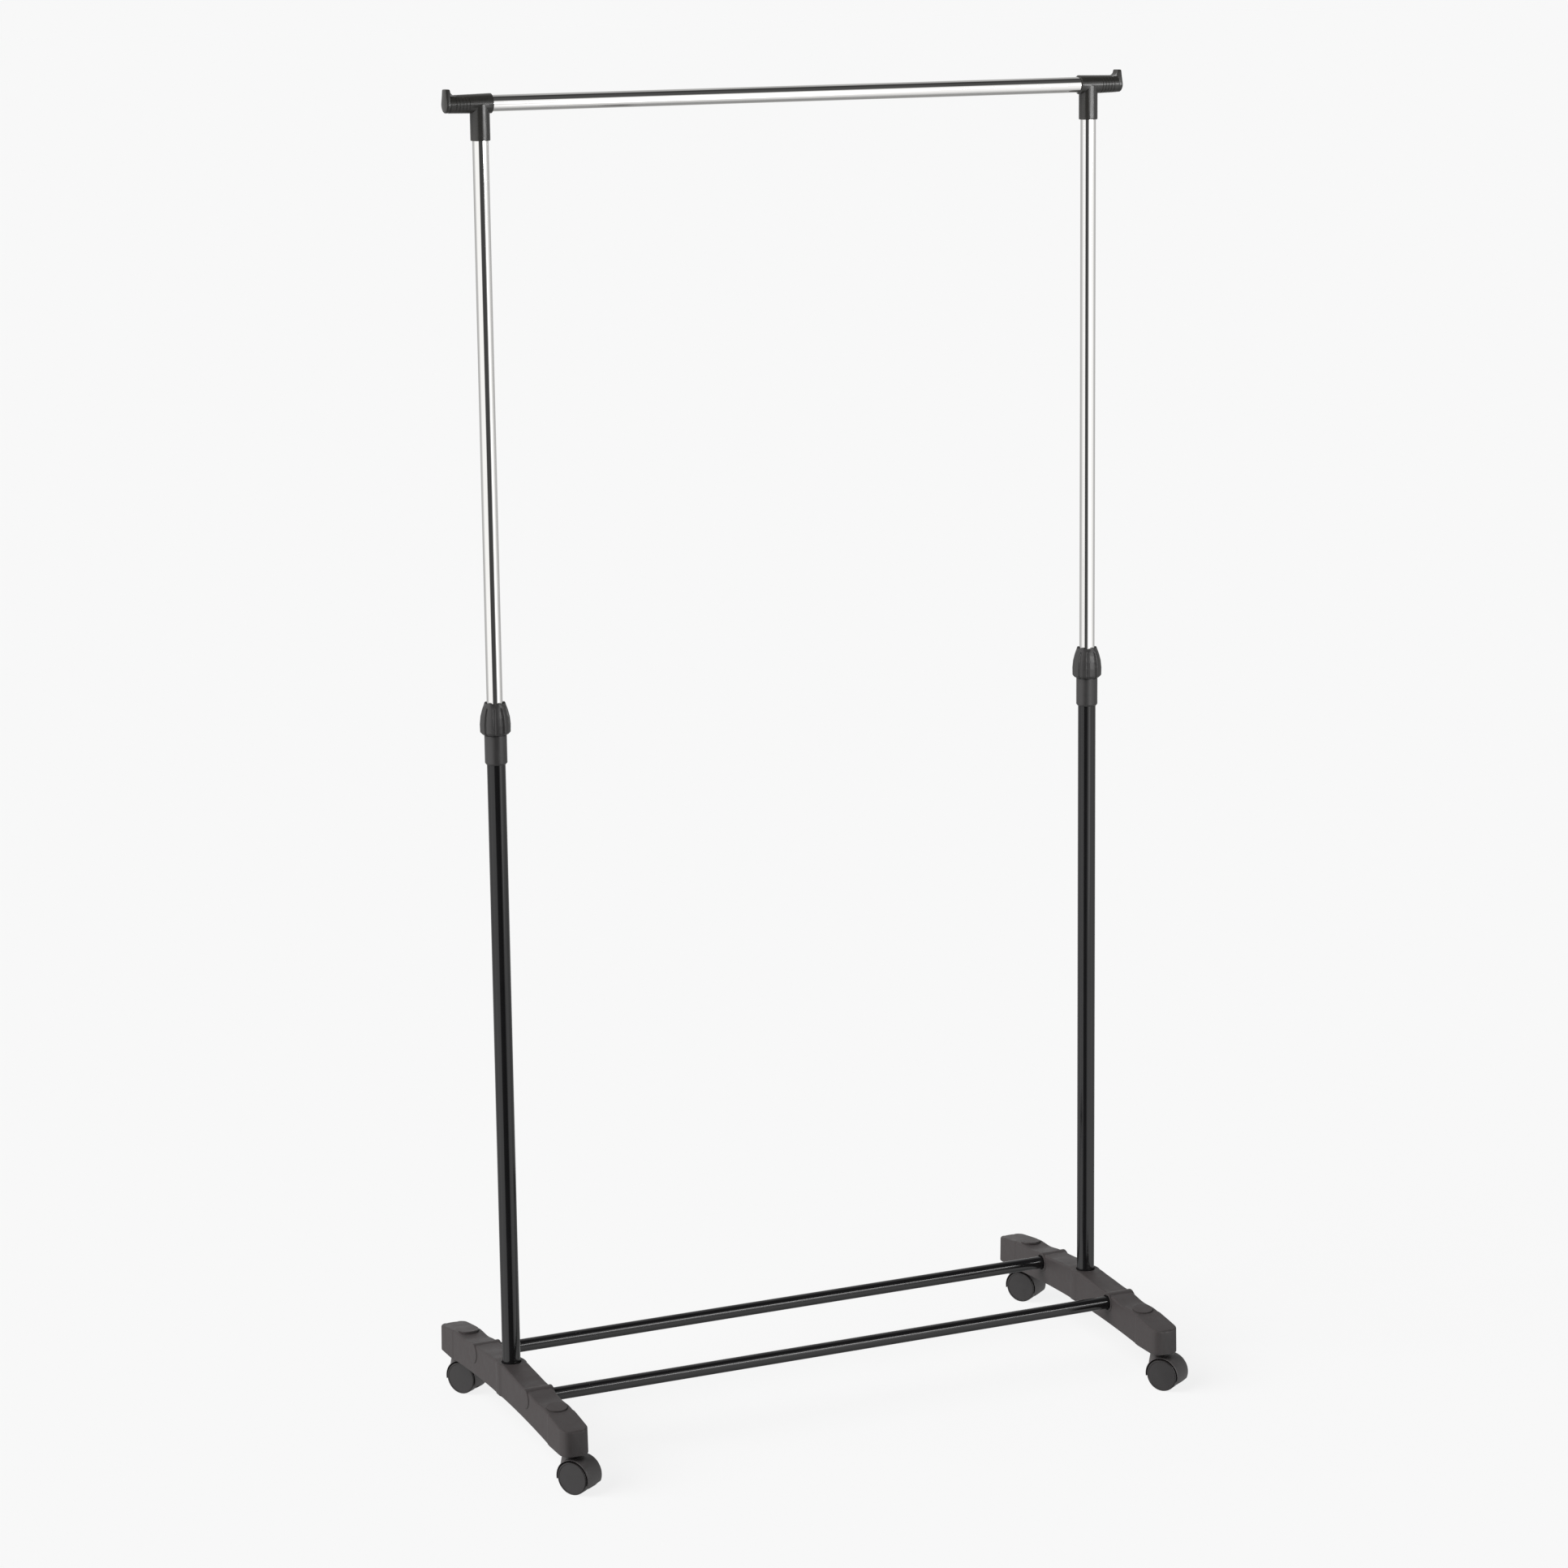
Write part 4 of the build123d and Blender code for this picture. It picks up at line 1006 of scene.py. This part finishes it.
bar_radius = size_of("front_crossbar").z / 2
bar_depth = foot_x + BARREL_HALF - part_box("front_crossbar")[0].x
for end, middle in bars.items():
    outside = Vector((foot_x + 25 * MM, middle.y, middle.z))
    for radius, depth in ((bar_radius + SOCKET_GAP, bar_depth), (bar_radius + SUNK_STEP, SUNK_DEPTH)):
        socket_floor = Vector((foot_x + BARREL_HALF - depth, middle.y, middle.z))
        combine(foot, pin("bar_socket", radius, outside, socket_floor, (-1, 0, 0), 80), "DIFFERENCE")
    stem, socket_top = upright_at(f"{end}_left_stem_socket"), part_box(f"{end}_left_stem_socket")[1].z
    combine(foot, pin("stem_socket", STEM_SOCKET, stem, stem + Vector((0, 0, socket_top)), Z_AXIS, 64),
            "DIFFERENCE")
    way = -1 if end == "front" else 1
    tilt = radians(way * CAP_TILT)
    normal = Vector((0, sin(tilt), cos(tilt)))
    seat = Vector((foot_x, way * CAP_PLACE, FOOT_TOP - CAP_DROP))
    seat_floor, hole_floor = seat - normal * SEAT_DEPTH, seat - normal * HOLE_DEPTH
    combine(foot, pin("cap_seat", CAP_SEAT, seat_floor, seat + normal * 6 * MM, normal, 80), "DIFFERENCE")
    combine(foot, pin("cap_hole", CAP_HOLE, hole_floor, seat + normal * MM, normal, 64), "DIFFERENCE")
print("foot faces", len(foot.data.polygons))

# %% Both feet
mirrored = foot.data.copy()
mirrored.transform(Matrix.Scale(-1, 4, (1, 0, 0)))
outward(mirrored)
FOOT_SHARP = 28
right_foot = plain_object("right_foot_moulded", mirrored)
attach(finished(foot, grained_polypropylene, FOOT_SHARP), "base", "foot_plastic", "left_foot")
attach(finished(right_foot, grained_polypropylene, FOOT_SHARP), "base", "foot_plastic", "right_foot")

# %% [markdown]
# ## Casters
# Each caster is a nylon hood over two wheels, with a boss on top that turns under the foot. The
# hood is an arched shell, a little crowned across, which reaches further down at the back than at
# the front. A thin web between the wheels holds the axle. The wheels are turned discs: a tread
# with rounded edges and a face with a low rim. The hood could be half a hollow ball squashed flat,
# but a section swept round the axle keeps its wall even. Where the axle is and which way it points
# comes from the joint that the wheel rolls on, so the caster can stand at any heading.

# %% Hood shell
HOOD_WALL, HOOD_EDGE, HOOD_CROWN, HOOD_HALF = 1.9 * MM, 0.8 * MM, 0.7 * MM, 15.0 * MM
LEAD_BELOW, TRAIL_BELOW = 10, 21      # degrees that the hood reaches below the axle, front and back
HOOD_FROM, HOOD_TO = radians(-TRAIL_BELOW), radians(180 + LEAD_BELOW)


def hood_arc(steps):
    """Angles from the trailing edge over the top to the leading edge."""
    return [HOOD_FROM + (HOOD_TO - HOOD_FROM) * k / steps for k in range(steps + 1)]


def hood_loop(angle, radius, axle_frame):
    """Cross-section of the shell at an angle round the axle: crowned outside, rounded edges."""
    inside = radius - HOOD_WALL
    crown = [(radius - HOOD_CROWN * across ** 2, across * HOOD_HALF)
             for across in (-1 + k / 6 for k in range(1, 12))]
    shoulder, half = radius - HOOD_CROWN - 0.25 * HOOD_EDGE, HOOD_HALF - HOOD_EDGE + 0.3 * HOOD_EDGE
    rim = radius - HOOD_CROWN - HOOD_EDGE
    outside = [(rim, -HOOD_HALF), (shoulder, -half)] + crown + [(shoulder, half), (rim, HOOD_HALF)]
    edge = [(inside + 0.35 * MM, HOOD_HALF), (inside, HOOD_HALF - 0.4 * MM),
            (inside, -HOOD_HALF + 0.4 * MM), (inside + 0.35 * MM, -HOOD_HALF)]
    return [axle_frame @ Vector((r * cos(angle), r * sin(angle), h)) for r, h in outside + edge]


print("hood section has", len(hood_loop(0, 20 * MM, Matrix.Identity(4))), "points")

# %% Where each caster stands
def caster_place(corner):
    """Hub, axle direction, stem and the frame round the axle, from the joint the wheels roll on."""
    roll = joints[f"{corner}_inner_roll"]
    hub, axle = Vector(roll["pos_m"]), Vector(roll["axis"]).normalized()
    stem = upright_at(f"{corner}_caster_stem")
    back = Vector((hub.x - stem.x, hub.y - stem.y, 0)).normalized()
    upright = Vector((0, 0, 1))
    axle_frame = Matrix.Translation(hub) @ Matrix((back, upright, back.cross(upright))).transposed().to_4x4()
    return hub, axle, stem, axle_frame


corners = [f"{end}_{side}" for end in ("front", "rear") for side in ("left", "right")]
for corner in corners:
    hub, axle = caster_place(corner)[:2]
    print(corner, "hub", [round(v, 4) for v in hub], "axle", [round(v, 3) for v in axle])

# %% Hoods
WEB = 6.2 * MM                                  # web between the wheels
BOSS_PROUD, WHEEL_ROOM, WEB_LAP = 3.3 * MM, 0.3 * MM, 0.6 * MM
BOSS_FOOT, BOSS_WAIST, BOSS_TOP = 11.5 * MM, 11.0 * MM, 9.0 * MM
ROOM_HALF, HOLE_HALF, ABOVE_CASTER = 0.03, 0.01, 0.06
HOOD_SHARP = 30


def make_hood(corner):
    """Shell, boss and web joined, with the room for the wheels, the axle hole and the stem hole."""
    hub, axle, stem, axle_frame = caster_place(corner)
    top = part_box(f"{corner}_caster_hood")[1].z
    radius = top - BOSS_PROUD - hub.z
    shell = swept(corner, [hood_loop(angle, radius, axle_frame) for angle in hood_arc(72)])
    hood = plain_object(f"{corner}_caster_hood_moulded", shell)

    outline = [(0, 0, 0), (BOSS_FOOT, 0, 0), (BOSS_WAIST, 12 * MM, 0),
               (BOSS_TOP, top - hub.z - 3.0 * MM, 3.0 * MM), (BOSS_TOP, top - hub.z, 0.5 * MM),
               (0, top - hub.z, 0)]
    mesh = lathe_mesh("boss", rounded(outline), 80)
    mesh.transform(Matrix.Translation(stem + Vector((0, 0, hub.z))))
    boss = plain_object("boss", mesh)
    room = radius - HOOD_WALL + WHEEL_ROOM
    room_pin = pin("room", room, hub - axle * ROOM_HALF, hub + axle * ROOM_HALF, axle, 96)
    combine(boss, room_pin, "DIFFERENCE")
    combine(hood, boss, "UNION")

    arc = [(room + WEB_LAP) * Vector((cos(a), sin(a))) for a in hood_arc(48)]
    web = slab_mesh("web", [axle_frame @ Vector((p.x, p.y, h * WEB / 2)) for h in (-1, 1) for p in arc])
    combine(hood, plain_object("web", web), "UNION")

    axle_radius = size_of(f"{corner}_caster_axle").z / 2
    axle_pin = pin("axle_hole", axle_radius, hub - axle * HOLE_HALF, hub + axle * HOLE_HALF, axle, 48)
    combine(hood, axle_pin, "DIFFERENCE")
    stem_radius = size_of(f"{corner}_caster_stem").x / 2
    stem_foot = stem + Vector((0, 0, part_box(f"{corner}_caster_stem")[0].z))
    stem_pin = pin("stem_hole", stem_radius, stem_foot, stem + Vector((0, 0, ABOVE_CASTER)), Z_AXIS, 48)
    combine(hood, stem_pin, "DIFFERENCE")
    return finished(hood, moulded_nylon, HOOD_SHARP)


for corner in corners:
    attach(make_hood(corner), f"{corner}_caster", "caster_plastic", f"{corner}_caster_hood")

# %% Wheels
WHEEL_EDGE, FACE_RIM, FACE_SINK, WHEEL_WIDTH = 1.5 * MM, 2.1 * MM, 0.45 * MM, 12.5 * MM
WEB_GAP, AXLE_GAP = 0.5 * MM, 0.08 * MM
DISH, BORE_COVER = 0.8 * MM, 1.5 * MM           # hollow of the inner face, wall over the axle's end


def make_wheel(corner, name):
    """Turned wheel, its inner face towards the web and its rim outside."""
    hub, axle = caster_place(corner)[:2]
    node = f"{corner}_{name}_wheel"
    away = axle if (middle_of(node) - hub).dot(axle) > 0 else -axle
    tread = size_of(f"{corner}_inner_wheel").z / 2
    bore = size_of(f"{corner}_caster_axle").z / 2 + AXLE_GAP
    width = WHEEL_WIDTH
    loop = rounded([(bore, 0, 0.2 * MM), (9 * MM, 0, 0.3 * MM), (9.6 * MM, DISH, 0.3 * MM),
                    (tread - 3.2 * MM, DISH, 0.3 * MM), (tread - 2.8 * MM, 0, 0.3 * MM),
                    (tread, 0, WHEEL_EDGE), (tread, width, WHEEL_EDGE), (tread - FACE_RIM, width, 0.25 * MM),
                    (tread - FACE_RIM - 0.4 * MM, width - FACE_SINK, 0.25 * MM),
                    (6 * MM, width - 0.1 * MM, 0), (0, width, 0), (0, width - BORE_COVER, 0),
                    (bore, width - BORE_COVER, 0)])
    mesh = lathe_mesh(node, loop, 112)
    mesh.transform(basis(away, hub + away * (WEB / 2 + WEB_GAP)))
    return finish_mesh(node + "_turned", mesh, wheel_nylon)


for corner in corners:
    for name in ("inner", "outer"):
        attach(make_wheel(corner, name), f"{corner}_{name}", "wheel_plastic", f"{corner}_{name}_wheel")

# %% [markdown]
# ## Pins, bushes and caps
# Stems and axles are steel pins, bushes and sockets are small sleeves, and the caps are plain
# discs. Their measured shape is already right, so drawing them again would add nothing. Each keeps
# its own mesh and only gets a finish.

# %% Small parts that keep their own shape
small_parts = {"collet": natural_acetal, "guide_bush": natural_acetal, "stem_socket": natural_acetal,
               "caster_stem": zinc_plated_steel, "caster_axle": zinc_plated_steel,
               "plug_cap": grained_polypropylene}
for name, node in frame["nodes"].items():
    for part, finish in small_parts.items():
        if name.endswith(part):
            node.data.materials.clear()
            node.data.materials.append(finish)
            print(name, finish.name)
